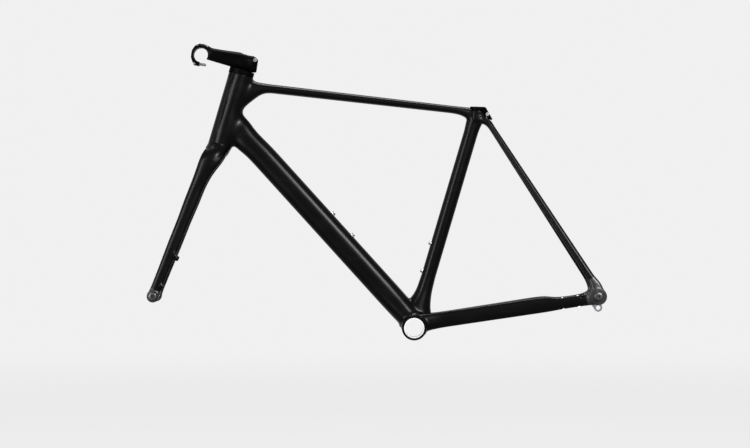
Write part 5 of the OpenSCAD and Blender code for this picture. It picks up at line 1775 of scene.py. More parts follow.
def on_seat(lay: Layout, up: float, back: float = 0) -> Stand:
    """Gives a frame on the seat tube's axis: Z runs up it and X to the rear."""
    at = lay.seat_point(up, back)
    turn = math.radians(lay.seat_angle)
    return Stand((at[0], 0, at[1]), (math.cos(turn), 0, math.sin(turn)))




@dataclass
class ForkSkin(Moulded):
    """The moulded fork: crown, blades, dropouts and the brake's bosses."""

    crown_leg_end: float = 262.0
    blade_side: float = 32.7
    dropout_side: float = 55.5
    tyre_room: float = 41.0
    boss_turn: float = -27.7

    def __post_init__(self) -> None:
        """Works out the blades' line and builds the skin."""
        lay = self.layout
        self.shoulder = lay.head_point(-lay.crown_drop, 11)
        self.blade_span = span(lay.front_axle, self.shoulder)
        self.turn = heading(self.shoulder, lay.front_axle)
        self.build()

    def up(self, distance: float, back: float = 0.0) -> Point:
        """Gives a point on the blades' line, up from the axle and behind the line."""
        at = along(self.layout.front_axle, self.shoulder, distance)
        turn = math.radians(heading(self.layout.front_axle, self.shoulder))
        return (at[0] + back * math.sin(turn), at[1] - back * math.cos(turn))

    def side_at(self, up: float) -> float:
        """Gives how far to the side a blade is, at a distance up from the axle."""
        return self.blade_side + 22.8 * min(1.0, (self.crown_leg_end - up) / 247)

    def blade_rings(self) -> list[Ring]:
        """Gives the right blade's cross-sections from the crown to the dropout."""
        rings = []
        for up, deep, wide in (
            (262, 15.4, 9), (224, 15.2, 8.5), (181, 13.6, 7.7),
            (118, 13.3, 6.8), (66, 12, 6.1), (15, 11.4, 5.5),
        ):
            rings.append(Ring(self.up(up), self.turn, deep, wide, self.side_at(up), 2.3))
        rings.append(Ring(self.up(9), self.turn, 12.2, 5.5, self.dropout_side, 2.8))
        rings.append(Ring(self.up(0), self.turn, 13, 5.5, self.dropout_side, 3))
        return rings

    def build(self) -> None:
        """Builds the skin of the whole fork."""
        lay = self.layout
        down = lay.head_angle + 180
        rings = []
        for drop, forward, deep, wide, power in (
            (-10, 0, 25, 25, 2), (0, 0, 25, 25, 2), (5, 0, 25.5, 26.8, 2.05), (11, 0.6, 26, 31, 2.15),
            (19, 2.6, 26.4, 37, 2.3), (29, 6, 25.4, 40.6, 2.5), (42, 9.4, 23.4, 41.4, 2.7),
        ):
            at = lay.head_point(-lay.crown_drop - drop, forward)
            rings.append(Ring(at, down, deep, wide, power=power))
        self.add(rings, 1, 4)
        rings = []
        for drop, forward, deep, wide, side, power in (
            (22, 3.6, 23.8, 9, 24.6, 2.3), (30, 6.2, 24.2, 10.4, 29.2, 2.4), (44, 9.3, 23.3, 10.6, 31.9, 2.4),
            (57, 12.6, 20.5, 10, 32.7, 2.4), (80, 16.9, 17, 9.4, 32.7, 2.3),
        ):
            at = lay.head_point(-lay.crown_drop - drop, forward)
            rings.append(Ring(at, down, deep, wide, side, power))
        self.add(rings + self.blade_rings(), 4, 7, both=True)
        for side in Side:
            disc = Disc(lay.front_axle, 13.4, side.value * self.dropout_side, 5.5, 1.2)
            self.skin.parts.append(Joined(disc, 3))
        for boss in self.boss_rings():
            self.add(boss, 4, 2)
        tyre = Disc(lay.front_axle, 346.0, 0.0, self.tyre_room / 2, 7.0)
        self.skin.parts.append(Joined(tyre, 5, cut=True))

    def boss_rings(self) -> list[list[Ring]]:
        """Gives the two seats of the front brake, on the left blade."""
        low = [(27.8, 6, 7, 5.4), (27, 15, 5.8, 5.2)]
        high = [(100.6, 4, 11.5, 5.6), (100.6, 9.4, 11, 5.6), (98.8, 12, 8.4, 5.6), (97.5, 15.6, 6.2, 5.4)]
        high.append((96.62, 22.32, 5.2, 5.2))
        bosses = []
        for rows in (low, high):
            rings = []
            for up, back, deep, wide in rows:
                side = -self.side_at(up)
                rings.append(Ring(self.up(up, back), self.boss_turn, deep, wide, side, 2.2))
            bosses.append(rings)
        return bosses

    def boss_stands(self) -> list[Stand]:
        """Gives the frames of the brake's two threads: Z runs out of the seat."""
        turn = math.radians(self.boss_turn)
        stands = []
        for up, back in ((27, 15), (96.62, 22.32)):
            at = self.up(up, back)
            stands.append(Stand((at[0], -self.side_at(up), at[1]), (math.cos(turn), 0, math.sin(turn))))
        return stands

    def make(self) -> None:
        """Makes and places every piece of the fork."""
        lay = self.layout
        down = lay.head_angle + 180
        joint = self.up(self.crown_leg_end)
        top = lay.head_point(-lay.crown_drop, 0)
        planes = [upright(top, down, back=True), upright(joint, self.turn)]
        spot = lay.head_point(-lay.crown_drop - 10, 25)
        made = self.piece("fork_crown", planes, (spot[0], 0, spot[1]), 1.7)
        Carver.combine(made, [rod(on_head(lay, 0), 14.35, -230, -100)])
        self.finished(made, Body.STEERING, ["fork_crown"])
        low = self.up(15)
        for side in Side:
            word = side.name.lower()
            planes = [upright(joint, self.turn, back=True), upright(low, self.turn)]
            middle = self.up(150, 12)
            spot = (middle[0], side.value * self.side_at(150), middle[1])
            made = self.piece(f"{word}_fork_blade", planes, spot, 1.3)
            if side is Side.LEFT:
                for stand in self.boss_stands():
                    Carver.combine(made, [rod(stand, 2.4, -16, 10, 32)])
                Carver.combine(made, [rod(self.port_stand(), 3.5, -14, 10, 40)])
            self.finished(made, Body.STEERING, [f"{word}_fork_blade"])
            planes = [upright(low, self.turn, back=True)]
            spot = (lay.front_axle[0], side.value * self.dropout_side, lay.front_axle[1] - 13)
            made = self.piece(f"{word}_fork_dropout", planes, spot, 1.2)
            across = Stand((lay.front_axle[0], 0, lay.front_axle[1]), (0, 1, 0), (0, 0, 1))
            radius = 6.06 if side is Side.LEFT else 8.45
            Carver.combine(made, [rod(across, radius, -100, 100)])
            self.finished(made, Body.STEERING, [f"{word}_fork_dropout"])

    def port_stand(self) -> Stand:
        """Gives the frame of the front brake hose's port, behind the left blade."""
        at = self.up(118.6, 13.4)
        turn = math.radians(heading(self.layout.front_axle, self.shoulder))
        return Stand((at[0], -self.side_at(118.6), at[1]), (math.sin(turn), 0, -math.cos(turn)))


# ---------------------------------------------------------------- turned and machined parts


@dataclass(frozen=True)
class Post(Shape):
    """An endless post along a heading of the middle plane, drawn out rearward."""

    at: Point
    heading: float
    radius: float
    back: float = 0.0

    def reach(self) -> tuple[np.ndarray, np.ndarray]:
        """Gives corners that hold every box, since the post has no end."""
        return np.full(3, -1e6), np.full(3, 1e6)

    def plane_part(self, x: np.ndarray, z: np.ndarray) -> tuple[np.ndarray, ...]:
        """Gives each point's distance behind the post's line, less its drawn-out part."""
        turn = math.radians(self.heading)
        behind = (x - self.at[0]) * math.sin(turn) - (z - self.at[1]) * math.cos(turn)
        return (behind - np.clip(behind, 0, self.back),)

    def side_part(self, found: tuple[np.ndarray, ...], y: np.ndarray) -> np.ndarray:
        """Gives the distance to the post's wall."""
        return np.hypot(found[0], y) - self.radius


@dataclass(frozen=True)
class Beyond(Shape):
    """All that lies outside an outline seen from the side, or inside it with a sign of -1."""

    outline: tuple[Point, ...]
    sign: int = 1

    def reach(self) -> tuple[np.ndarray, np.ndarray]:
        """Gives corners that hold every box."""
        return np.full(3, -1e6), np.full(3, 1e6)

    def plane_part(self, x: np.ndarray, z: np.ndarray) -> tuple[np.ndarray, ...]:
        """Gives each point's depth inside the outline as a positive distance."""
        nearest = np.full(np.shape(x), 1e9)
        inside = np.zeros(np.shape(x), bool)
        for first, second in zip(self.outline, self.outline[1:] + self.outline[:1]):
            side_x, side_z = second[0] - first[0], second[1] - first[1]
            gap_x, gap_z = x - first[0], z - first[1]
            share = np.clip((gap_x * side_x + gap_z * side_z) / (side_x**2 + side_z**2), 0, 1)
            nearest = np.minimum(nearest, np.hypot(gap_x - side_x * share, gap_z - side_z * share))
            crosses = (first[1] > z) != (second[1] > z)
            rise = side_z if abs(side_z) > 1e-9 else 1e-9
            inside ^= crosses & (gap_x < side_x * gap_z / rise)
        return (self.sign * np.where(inside, nearest, -nearest),)

    def side_part(self, found: tuple[np.ndarray, ...], y: np.ndarray) -> np.ndarray:
        """Gives the same distance for every Y."""
        return found[0] + 0 * y


@dataclass
class SeatClamp:
    """The collar that clamps the seatpost, with its bolt and nut."""

    layout: Layout
    radius: float = 19.6
    tail: float = 32.0
    tail_half_width: float = 10.5
    bore: float = 13.65
    slit: float = 1.4
    bolt_back: float = 23.4
    bolt_up: float = -4.2

    def outline(self) -> tuple[Point, ...]:
        """Gives the collar's outline from the side, in X and Z."""
        seam = [(-18.3, -3.9), (-6, -2.6), (5.7, -1.2), (10.5, -2.4), (15.3, -4.7), (27.9, -14), (34.6, -14)]
        top = [(36.6, -13.2), (37, -11.2), (18.9, 6.1), (17.2, 8.4), (13.6, 9.6), (-17.6, 1.4)]
        length = self.layout.seat_tube_length
        lifted = [(back, up + 0.25) for back, up in seam]
        return tuple(self.layout.seat_point(length + up, back) for back, up in lifted + top)

    def make(self) -> None:
        """Makes and places the collar, the bolt and the nut."""
        lay = self.layout
        at = lay.seat_point(lay.seat_tube_length)
        skin = Skin()
        skin.parts.append(Joined(Post(at, lay.seat_angle, self.radius)))
        skin.parts.append(Joined(Post(at, lay.seat_angle, self.tail_half_width, self.tail), 4))
        skin.parts.append(Joined(Beyond(self.outline()), 1.8, cut=True))
        low, high = node_box("seat_clamp_collar", 5)
        made = build_object("seat_clamp_collar_skin", Mesher(skin, low, high, 0.8).mesh())
        length = lay.seat_tube_length
        Carver.combine(made, [rod(on_seat(lay, length), self.bore, -40, 40, 96)])
        Carver.combine(made, [rod(on_seat(lay, length), 15.35, -40, 1.3, 96)])
        half = self.slit / 2
        gap = [(10, -half), (60, -half), (60, half), (10, half)]
        Carver.combine(made, [prism("slit", on_seat(lay, length), gap, -40, 40)])
        stand = on_seat(lay, length + self.bolt_up, self.bolt_back)
        Carver.combine(made, [rod(stand.facing(Side.LEFT), 2.55, -20, 20, 32)])
        Carver.combine(made, [rod(stand.facing(Side.LEFT), 4.3, 6, 30, 40)])
        Carver.combine(made, [rod(stand.facing(Side.RIGHT), 3.65, 5, 30, 40)])
        Carver.true_normals(made, skin)
        place(made, Body.FRAME, ["seat_clamp_collar"], STEM_BLACK)
        bolt = socket_screw(stand.facing(Side.LEFT).moved(z=6), 2.5, 14.5, 4.1, 4)
        bolt.name = "seat_clamp_bolt_steel"
        place(bolt, Body.FRAME, ["seat_clamp_bolt"])
        profile = ring_profile(2.55, 3.6, 5, 10, 0.35)
        nut = lathe("seat_clamp_nut_steel", stand.facing(Side.RIGHT), profile, 48)
        place(nut, Body.FRAME, ["seat_clamp_nut"])


@dataclass
class Headset:
    """What shows of the headset: its cover and the two oval spacers."""

    layout: Layout
    half_length: float = 28.0
    half_width: float = 22.5
    spacer_height: float = 6.6
    cover_top: float = 7.0
    bore: float = 14.35

    def make(self) -> None:
        """Makes and places the cover and the spacers."""
        lay = self.layout
        down = lay.head_angle + 180
        skin = Skin()
        rings = []
        for up, deep, wide, power in (
            (0.5, 26.7, 26.7, 2), (3, 26.9, 26.1, 2), (7, 28, 22.5, 2.1),
        ):
            rings.append(Ring(lay.head_point(up, 0), down, deep, wide, power=power))
        skin.parts.append(Joined(Limb(rings, 0.6)))
        low, high = node_box("headset_cover", 4)
        made = build_object("headset_cover_skin", Mesher(skin, low, high, 0.7).mesh())
        base = upright(lay.head_point(0.5, 0), lay.head_angle, back=True)
        Carver.cut(made, [base, upright(lay.head_point(self.cover_top, 0), lay.head_angle)])
        Carver.combine(made, [rod(on_head(lay, 0), self.bore, -20, 60, 96)])
        Carver.combine(made, [rod(on_head(lay, 0), 17.0, -20, 2.6, 96)])
        Carver.true_normals(made, skin)
        place(made, Body.STEERING, ["headset_cover"], STEM_BLACK)
        outline = oval(self.half_length, self.half_width, 2.1, 96)
        for i, node in enumerate(("lower_spacer", "upper_spacer")):
            foot = self.cover_top + self.spacer_height * i
            stand = on_head(lay, foot)
            ring = prism(node + "_ring", stand, outline, 0.03, self.spacer_height - 0.03, 0.5)
            Carver.combine(ring, [rod(stand, self.bore, -2, 20, 96)])
            Carver.smooth(ring)
            place(ring, Body.STEERING, [node], STEM_BLACK)


@dataclass
class StemAssembly:
    """The stem: its body, faceplate, bolts and top cap."""

    layout: Layout
    base: float = 20.2
    middle: float = 39.2
    cap_seat: float = 51.8
    cap_radius: float = 15.6
    bar_point: Point = (-471.61, 603.20)
    bar_radius: float = 15.9
    steerer_radius: float = 14.35
    face_pitch: float = 20.2
    face_side: float = 14.5

    def __post_init__(self) -> None:
        """Works out the stem's axis."""
        self.clamp_point = self.layout.head_point(self.middle, 0)
        self.length = span(self.clamp_point, self.bar_point)
        self.turn = heading(self.clamp_point, self.bar_point)

    def ring(self, distance: float, deep: float, wide: float, power: float, lift: float = 0) -> Ring:
        """Gives a cross-section of the stem at a distance ahead of the steerer."""
        at = along(self.clamp_point, self.bar_point, distance, lift)
        return Ring(at, self.turn, deep, wide, power=power)

    def skin(self) -> Skin:
        """Gives the stem and its faceplate as one skin."""
        rows = [
            (-27.8, 13.6, 7, 2.6, -6), (-26, 15.6, 11, 2.8, -5), (-20, 17.8, 17, 2.8, -3.6),
            (-8, 19.6, 21.4, 2.8, -2), (4, 19.6, 21.8, 2.8, -0.8),
            (22, 19, 20, 2.8, 0), (48, 18.6, 18.4, 2.8, 0),
        ]
        rows += [(self.length - 22, 19, 18.8, 3, 0), (self.length - 11, 23.7, 21.3, 4, 0)]
        rows += [(self.length, 25.1, 21.5, 5, 0), (self.length + 8, 24.7, 21.5, 5, 0)]
        rows += [(self.length + 14, 21.7, 20.9, 4, 0), (self.length + 19.4, 13.9, 19.9, 3.4, 0)]
        rows += [(self.length + 21, 8.9, 18.5, 3, 0)]
        made = Skin()
        made.parts.append(Joined(Limb([self.ring(*row) for row in rows], 2.0)))
        return made

    def bar_stand(self) -> Stand:
        """Gives the handlebar's frame: Z runs along it and X along the stem."""
        turn = math.radians(self.turn)
        at = self.bar_point
        return Stand((at[0], 0, at[1]), (0, 1, 0), (-math.sin(turn), 0, math.cos(turn)))

    def face_stands(self) -> list[Stand]:
        """Gives the frames of the four faceplate bolts, whose heads face forward."""
        turn = math.radians(self.turn)
        stands = []
        for above in (1, -1):
            for side in Side:
                at = along(self.clamp_point, self.bar_point, self.length + 8.5)
                x = at[0] - above * self.face_pitch * math.sin(turn)
                z = at[1] + above * self.face_pitch * math.cos(turn)
                spot = (x, side.value * self.face_side, z)
                stands.append(Stand(spot, (math.cos(turn), 0, math.sin(turn))))
        return stands

    def clamp_stands(self) -> list[Stand]:
        """Gives the frames of the two steerer clamp bolts, which face opposite sides."""
        stands = []
        for up, side in ((self.middle - 7.5, Side.RIGHT), (self.middle + 9.5, Side.LEFT)):
            stands.append(on_head(self.layout, up, -20.6).facing(side).moved(z=8.2))
        return stands

    def make(self) -> None:
        """Makes and places every piece of the stem."""
        lay = self.layout
        skin = self.skin()
        front = along(self.clamp_point, self.bar_point, self.length - 0.6)
        face = along(self.clamp_point, self.bar_point, self.length + 0.6)
        foot = lay.head_point(self.base, 0)
        low, high = node_box("stem_body", 5)
        body = build_object("stem_body_skin", Mesher(skin, low, high, 1.1).mesh())
        Carver.cut(body, [upright(front, self.turn), upright(foot, lay.head_angle, back=True)], 0.35)
        Carver.combine(body, [rod(on_head(lay, 0), self.steerer_radius, 0, 90, 96)])
        Carver.combine(body, [rod(on_head(lay, self.cap_seat), self.cap_radius + 0.2, 0, 40, 96)])
        Carver.combine(body, [rod(self.bar_stand(), self.bar_radius, -60, 60, 96)])
        slit = [(12, -0.9), (60, -0.9), (60, 0.9), (12, 0.9)]
        Carver.combine(body, [prism("slit", on_head(lay, 0), slit, 0, 100)])
        for stand in self.face_stands():
            Carver.combine(body, [rod(stand, 2.55, -22, 20, 32)])
        for stand in self.clamp_stands():
            Carver.combine(body, [rod(stand, 2.55, -24, 16, 32)])
            Carver.combine(body, [rod(stand, 4.6, 0, 30, 40)])
        Carver.true_normals(body, skin)
        place(body, Body.STEERING, ["stem_body"], STEM_BLACK)
        low, high = node_box("stem_faceplate", 5)
        plate = build_object("stem_faceplate_skin", Mesher(skin, low, high, 1.0).mesh())
        Carver.cut(plate, [upright(face, self.turn, back=True)], 0.35)
        Carver.combine(plate, [rod(self.bar_stand(), self.bar_radius, -60, 60, 96)])
        for stand in self.face_stands():
            Carver.combine(plate, [rod(stand, 2.55, -30, 30, 32)])
            Carver.combine(plate, [rod(stand, 4.5, 0, 30, 40)])
        Carver.true_normals(plate, skin)
        place(plate, Body.STEERING, ["stem_faceplate"], STEM_BLACK)
        bolts = [socket_screw(stand, 2.5, 22, 4.2, 4.4) for stand in self.face_stands()]
        place(joined("faceplate_bolt_set", bolts), Body.STEERING, ["faceplate_bolts"])
        bolts = [socket_screw(stand, 2.5, 18, 4.2, 4.6) for stand in self.clamp_stands()]
        place(joined("clamp_bolt_pair", bolts), Body.STEERING, ["stem_clamp_bolts"])
        self.make_cap()

    def make_cap(self) -> None:
        """Makes and places the top cap and its bolt."""
        stand = on_head(self.layout, self.cap_seat)
        profile = [(3.1, 0.2), (3.1, 1.0), (5.3, 1.0), (5.3, 2.7), (5.6, 3.0)]
        profile += [(14.4, 3.0), (15.1, 2.8), (15.6, 2.2), (15.6, 0.3), (15.3, 0), (3.3, 0)]
        place(lathe("top_cap_disc", stand, profile, 96), Body.STEERING, ["stem_top_cap"])
        bolt = socket_screw(stand.moved(z=1.0), 3, 38, 5, 2.4)
        bolt.name = "top_cap_screw"
        place(bolt, Body.STEERING, ["top_cap_bolt"])


@dataclass
class Fittings:
    """Bottle inserts, mounts, the hanger, grommets and brake threads."""

    skins: FrameSkin
    fork: ForkSkin
    bottle_pitch: float = 64.0
    down_bottle: float = 234.0
    seat_bottle: float = 126.0
    insert_length: float = 11.0

    def bottle_stands(self) -> dict[str, list[Stand]]:
        """Gives each tube's two bottle inserts: Z runs out of the tube."""
        skins = self.skins
        found: dict[str, list[Stand]] = {"down_tube": [], "seat_tube": []}
        turn = math.radians(heading(skins.dt_foot, skins.dt_head))
        out = (-math.sin(turn), 0.0, math.cos(turn))
        out = out if out[2] > 0 else (-out[0], 0.0, -out[2])
        for i in range(2):
            at = along(skins.dt_foot, skins.dt_head, self.down_bottle + self.bottle_pitch * i)
            spot = (at[0] + out[0] * 27.5, 0, at[1] + out[2] * 27.5)
            found["down_tube"].append(Stand(spot, out))
        turn = math.radians(skins.layout.seat_angle)
        out = (-math.sin(turn), 0.0, math.cos(turn))
        for i in range(2):
            at = skins.layout.seat_point(self.seat_bottle + self.bottle_pitch * i)
            spot = (at[0] + out[0] * 15.7, 0, at[1] + out[2] * 15.7)
            found["seat_tube"].append(Stand(spot, out))
        return found

    def make(self) -> None:
        """Makes and places all the fittings."""
        for tube, stands in self.bottle_stands().items():
            depth = self.insert_length
            profile = [(2.55, -depth), (4.0, -depth), (4.2, -depth + 0.3)]
            profile += [(4.2, 0), (5.6, 0), (5.6, 0.6), (5.0, 1.2), (2.9, 1.2), (2.55, 0.9)]
            inserts = [lathe("insert", stand, profile, 48) for stand in stands]
            place(joined(f"{tube}_insert_pair", inserts), Body.FRAME, [f"{tube}_bottle_inserts"])
            bolts = [socket_screw(stand.moved(z=1.2), 2.5, 11, 4.5, 3.6, 0.8) for stand in stands]
            place(joined(f"{tube}_bolt_pair", bolts), Body.FRAME, [f"{tube}_bottle_bolts"])
        self.make_derailleur_mount()
        self.make_hanger()
        self.make_ports()
        self.make_axle_insert()

    def make_derailleur_mount(self) -> None:
        """Makes the front derailleur's mount and its two bolts."""
        lay = self.skins.layout
        at = lay.seat_point(154)
        turn = math.radians(lay.seat_angle)
        stand = Stand((at[0], 16, at[1]), (0, 1, 0), (math.cos(turn), 0, math.sin(turn)))
        outline = []
        for x, y, start in ((3.5, 12, 0), (-3.5, 12, 90), (-3.5, -12, 180), (3.5, -12, 270)):
            for step in range(0, 91, 30):
                angle = math.radians(start + step)
                outline.append((x + 2 * math.cos(angle), y + 2 * math.sin(angle)))
        made = prism("front_derailleur_block", stand, outline, 0, 6, 0.6)
        window = []
        for y, start in ((3.6, 0), (-3.6, 180)):
            for step in range(0, 181, 30):
                angle = math.radians(start + step)
                window.append((1.6 * math.cos(angle), y + 1.6 * math.sin(angle)))
        Carver.combine(made, [prism("window", stand, window, -1, 8)])
        for i in (-1, 1):
            Carver.combine(made, [rod(stand.moved(y=8 * i), 2.05, -2, 8, 32)])
        Carver.smooth(made)
        place(made, Body.FRAME, ["front_derailleur_mount"])
        bolts = [socket_screw(stand.moved(y=8 * i, z=6), 2, 8, 3.5, 2.2) for i in (-1, 1)]
        place(joined("front_derailleur_bolt_pair", bolts), Body.FRAME, ["front_derailleur_bolts"])

    def make_hanger(self) -> None:
        """Makes the derailleur hanger and its bolt."""
        axle = self.skins.layout.rear_axle
        hull = hull_outline([((0, 0), 12.5), ((-12.5, -1), 5.4), ((9, -28), 9.0)])
        stand = Stand((axle[0], 80, axle[1]), (0, 1, 0), (0, 0, 1))
        outline = [(-x, z) for x, z in hull]
        made = prism("hanger_plate", stand, outline, 0, 6.5, 0.7)
        barrel = rod(stand, 8, -9, 0.5, 64)
        Carver.combine(made, [barrel], "UNION")
        Carver.combine(made, [rod(stand, 6.06, -20, 20, 64)])
        Carver.combine(made, [rod(stand.moved(x=-9, y=-28), 5, -20, 20, 48)])
        Carver.combine(made, [rod(stand.moved(x=12.5, y=-1), 2.05, -20, 20, 32)])
        Carver.smooth(made)
        place(made, Body.FRAME, ["derailleur_hanger"])
        bolt = socket_screw(stand.moved(x=12.5, y=-1, z=6.5), 2, 14.5, 3.6, 2.2)
        bolt.name = "hanger_screw"
        place(bolt, Body.FRAME, ["hanger_bolt"])

    def make_ports(self) -> None:
        """Makes the rubber grommets of the two hose ports."""
        stand = self.skins.port_stand()
        profile = [(2.5, 7.9), (5.2, 7.9), (5.2, 8.6), (4.6, 9.6), (3.6, 12.2), (3.2, 12.46), (2.5, 12.3)]
        place(lathe("rear_port_ring", stand, profile, 48), Body.FRAME, ["rear_hose_grommet"])
        stand = self.fork.port_stand()
        profile = [(2.5, -4), (3.45, -4), (3.45, 0), (5, 0), (5, 0.7), (4.4, 1.7), (3.4, 2.6), (2.5, 2.5)]
        place(lathe("front_port_ring", stand, profile, 48), Body.STEERING, ["front_hose_grommet"])
        threads = []
        for stand in self.fork.boss_stands():
            profile = [(2.05, -14), (2.35, -14), (2.35, -0.35), (2.15, -0.2), (2.05, -0.4)]
            threads.append(lathe("thread", stand, profile, 32))
        place(joined("front_brake_threads", threads), Body.STEERING, ["front_brake_bosses"])

    def make_axle_insert(self) -> None:
        """Makes the ring that the front axle screws into."""
        axle = self.skins.layout.front_axle
        stand = Stand((axle[0], 50, axle[1]), (0, 1, 0), (0, 0, 1))
        ring = lathe("front_axle_ring", stand, ring_profile(6.06, 8.4, 0, 11, 0.4), 64)
        place(ring, Body.STEERING, ["front_axle_insert"])


def hull_outline(circles: Sequence[tuple[Point, float]]) -> list[Point]:
    """Gives the outline wrapped round several circles.

    Args:
        circles: each circle's middle and radius.

    Returns:
        The convex outline's corners in order.
    """
    points = []
    for (x, z), radius in circles:
        for i in range(48):
            turn = 2 * math.pi * i / 48
            points.append((x + radius * math.cos(turn), z + radius * math.sin(turn)))
    points.sort()

    def half(ordered: Sequence[Point]) -> list[Point]:
        """Gives one side of the hull."""
        chain: list[Point] = []
        for p in ordered:
            while len(chain) > 1:
                a, b = chain[-2], chain[-1]
                if (b[0] - a[0]) * (p[1] - a[1]) - (b[1] - a[1]) * (p[0] - a[0]) > 1e-9:
                    break
                chain.pop()
            chain.append(p)
        return chain[:-1]

    return half(points) + half(points[::-1])


@dataclass
class Axle:
    """A thru-axle: a hollow shaft with a thread at its end and a head with a hexagon."""

    node: str
    body: Body
    at: Point
    start: float
    length: float
    head: float
    head_height: float
    shaft: float = 6.0

    def make(self) -> None:
        """Makes and places the axle."""
        stand = Stand((self.at[0], self.start, self.at[1]), (0, 1, 0), (0, 0, 1))
        top = self.head_height
        end = self.length
        profile = [(0, 6.4 - top), (3.4, 6.4 - top), (3.45, -top + 0.3), (3.9, -top), (self.head - 1.4, -top)]
        profile += [(self.head - 0.4, -top + 0.5), (self.head, -top + 1.5), (self.head, -1.2)]
        profile += [(self.head - 0.3, -0.35), (self.shaft + 0.2, -0.35), (self.shaft, 0.2)]
        place_at = end - 14
        profile.append((self.shaft, place_at))
        while place_at < end - 1.6:
            profile += [(self.shaft - 0.35, place_at + 0.5), (self.shaft, place_at + 1.0)]
            place_at += 1.0
        profile += [(self.shaft - 0.8, end), (3.9, end), (3.6, end - 0.3), (3.6, 14), (0, 14)]
        made = lathe(self.node + "_turned", stand, profile, 64)
        key = prism("key", stand, six_sided(3.45 * 1.12), -top - 1, -top + 6.2)
        Carver.combine(made, [key])
        Carver.smooth(made)
        place(made, self.body, [self.node])


# ---------------------------------------------------------------- studio


@dataclass(frozen=True)
class SoftBox:
    """A rectangular lamp that faces a target.

    Its direction is from the target towards the lamp, in the bicycle's axes.
    """

    name: str
    direction: tuple[float, float, float]
    away: float
    width: float
    height: float
    power: float

    def make(self, target: Vector) -> Solid:
        """Makes the lamp.

        Args:
            target: the point it faces.

        Returns:
            The lamp's object.
        """
        data = bpy.data.lights.new(self.name, "AREA")
        data.shape = "RECTANGLE"
        data.size = self.width
        data.size_y = self.height
        data.energy = self.power
        made = bpy.data.objects.new(self.name, data)
        toward = Vector(self.direction).normalized()
        made.location = target + toward * self.away
        made.rotation_euler = toward.to_track_quat("Z", "Y").to_euler()
        made.visible_camera = False
        bpy.context.scene.collection.objects.link(made)
        return made


def pale_rays(tree: bpy.types.NodeTree) -> bpy.types.NodeSocket:
    """Adds the test for rays that show the background.

    Args:
        tree: the node tree that it is added to.

    Returns:
        The socket that is 1 for camera, glossy and transmission rays.
    """
    path = tree.nodes.new("ShaderNodeLightPath")
    shown = path.outputs["Is Camera Ray"]
    for label in ("Is Glossy Ray", "Is Transmission Ray"):
        either = tree.nodes.new("ShaderNodeMath")
        either.operation = "MAXIMUM"
        tree.links.new(shown, either.inputs[0])
        tree.links.new(path.outputs[label], either.inputs[1])
        shown = either.outputs[0]
    return shown


def grey(shade: float) -> tuple[float, float, float, float]:
    """Gives an opaque grey."""
    return (shade, shade, shade, 1.0)


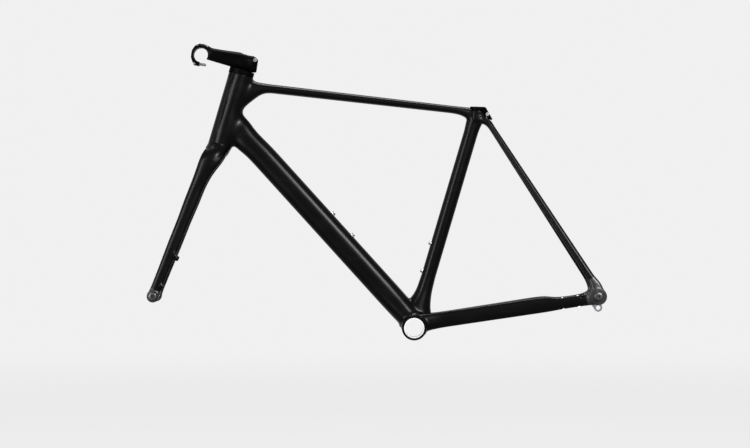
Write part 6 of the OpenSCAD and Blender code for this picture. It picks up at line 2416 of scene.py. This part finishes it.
@dataclass
class Studio:
    """The pale floor and room, the soft lamps and the camera."""

    width: float = 1.661
    middle: tuple[float, float, float] = (-0.0864, 0.0, 0.2293)
    distance: float = 8.0
    floor: float = -0.27
    floor_size: float = 9.0
    fade_start: float = 1.2
    fade_end: float = 6.5
    backdrop_shade: float = 0.875
    floor_glow: float = 0.8
    floor_shade: float = 0.014
    room_shade: float = 0.02

    def make(self) -> None:
        """Sets up the view, floor, lamps, world and camera."""
        scene = bpy.context.scene
        scene.view_settings.view_transform = "Standard"
        self.make_floor()
        self.make_world()
        target = Vector(self.middle)
        for lamp in self.lamps():
            lamp.make(target)
            LOG.info("lamp %s", lamp.name)
        self.make_camera()

    def lamps(self) -> list[SoftBox]:
        """Gives the lamps: side strips for the tubes' edges and boxes for their tops."""
        return [
            SoftBox("front_left_strip", (-0.62, -0.76, 0.06), 3.2, 0.9, 2.6, 204.0),
            SoftBox("upper_right_box", (0.39, -0.85, 0.36), 3.4, 0.8, 0.8, 240.0),
            SoftBox("overhead_box", (0.0, 0.2, 1.0), 2.4, 2.2, 0.9, 204.0),
            SoftBox("left_strip", (-1.0, -0.1, 0.2), 2.6, 0.5, 1.8, 14.0),
        ]

    def make_floor(self) -> None:
        """Makes the floor, which thins out to the room's own shade."""
        shape = bmesh.new()
        bmesh.ops.create_grid(shape, x_segments=2, y_segments=2, size=self.floor_size)
        mesh = bpy.data.meshes.new("studio_floor")
        shape.to_mesh(mesh)
        shape.free()
        made = bpy.data.objects.new("studio_floor", mesh)
        made.location = (0.0, 0.0, self.floor)
        bpy.context.scene.collection.objects.link(made)
        made.data.materials.append(self.floor_material())

    def floor_material(self) -> bpy.types.Material:
        """Gives the floor: pale where it is seen, dark in the light that it sends back."""
        made = bpy.data.materials.new("studio_paper")
        made.use_nodes = True
        tree = made.node_tree
        tree.nodes.clear()
        out = tree.nodes.new("ShaderNodeOutputMaterial")
        glow = tree.nodes.new("ShaderNodeEmission")
        glow.inputs["Color"].default_value = grey(self.floor_glow)
        lit = tree.nodes.new("ShaderNodeBsdfDiffuse")
        lit.inputs["Color"].default_value = grey(self.floor_shade)
        seen = tree.nodes.new("ShaderNodeAddShader")
        tree.links.new(glow.outputs[0], seen.inputs[0])
        tree.links.new(lit.outputs[0], seen.inputs[1])
        other = tree.nodes.new("ShaderNodeBsdfDiffuse")
        other.inputs["Color"].default_value = grey(self.room_shade)
        pick = tree.nodes.new("ShaderNodeMixShader")
        tree.links.new(pale_rays(tree), pick.inputs["Fac"])
        tree.links.new(other.outputs[0], pick.inputs[1])
        tree.links.new(seen.outputs[0], pick.inputs[2])
        place = tree.nodes.new("ShaderNodeTexCoord")
        far = tree.nodes.new("ShaderNodeVectorMath")
        far.operation = "LENGTH"
        tree.links.new(place.outputs["Object"], far.inputs[0])
        fade = tree.nodes.new("ShaderNodeMapRange")
        fade.interpolation_type = "SMOOTHSTEP"
        fade.inputs["From Min"].default_value = self.fade_start
        fade.inputs["From Max"].default_value = self.fade_end
        tree.links.new(far.outputs["Value"], fade.inputs["Value"])
        clear = tree.nodes.new("ShaderNodeBsdfTransparent")
        edge = tree.nodes.new("ShaderNodeMixShader")
        tree.links.new(fade.outputs["Result"], edge.inputs["Fac"])
        tree.links.new(pick.outputs[0], edge.inputs[1])
        tree.links.new(clear.outputs[0], edge.inputs[2])
        tree.links.new(edge.outputs[0], out.inputs["Surface"])
        return made

    def make_world(self) -> None:
        """Gives the room a low even light, and the pale background."""
        world = bpy.data.worlds.new("room")
        world.use_nodes = True
        bpy.context.scene.world = world
        tree = world.node_tree
        node = next(n for n in tree.nodes if n.type == "BACKGROUND")
        shades = tree.nodes.new("ShaderNodeMix")
        shades.data_type = "RGBA"
        shades.inputs["A"].default_value = grey(self.room_shade)
        shades.inputs["B"].default_value = grey(self.backdrop_shade)
        tree.links.new(pale_rays(tree), shades.inputs["Factor"])
        tree.links.new(shades.outputs["Result"], node.inputs["Color"])

    def make_camera(self) -> None:
        """Makes the long-lensed camera that looks square at the left side."""
        data = bpy.data.cameras.new("side_camera")
        data.sensor_width = 36.0
        data.lens = 36.0 * self.distance / self.width
        data.clip_end = 100.0
        made = bpy.data.objects.new("side_camera", data)
        made.location = (self.middle[0], -self.distance, self.middle[2])
        made.rotation_euler = (math.radians(90), 0, 0)
        bpy.context.scene.collection.objects.link(made)
        bpy.context.scene.camera = made


def finish_hidden_nodes() -> None:
    """Gives each node that stays as it is its slot's own finish."""
    for node, slot in SLOTS.items():
        made = bpy.data.objects.get(node)
        if made is not None and made.type == "MESH":
            dress(made, SLOT_FINISH[slot])
            LOG.info("%s: finish %s", node, slot)


def main() -> None:
    """Builds every sub-assembly in order."""
    logging.basicConfig(level=logging.INFO, format="%(relativeCreated)d %(name)s %(message)s")
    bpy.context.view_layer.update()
    layout = Layout()
    finish_hidden_nodes()
    Studio().make()
    frame_skin = FrameSkin(layout)
    frame_skin.make()
    fork_skin = ForkSkin(layout)
    fork_skin.make()
    Headset(layout).make()
    StemAssembly(layout).make()
    SeatClamp(layout).make()
    Fittings(frame_skin, fork_skin).make()
    front = layout.front_axle
    rear = layout.rear_axle
    Axle("front_axle_shaft", Body.FRONT_AXLE, front, -61.0, 121.5, 9.0, 7.0).make()
    Axle("rear_axle_shaft", Body.REAR_AXLE, rear, -80.0, 166.0, 9.4, 8.0).make()


if __name__ == "__main__":
    main()
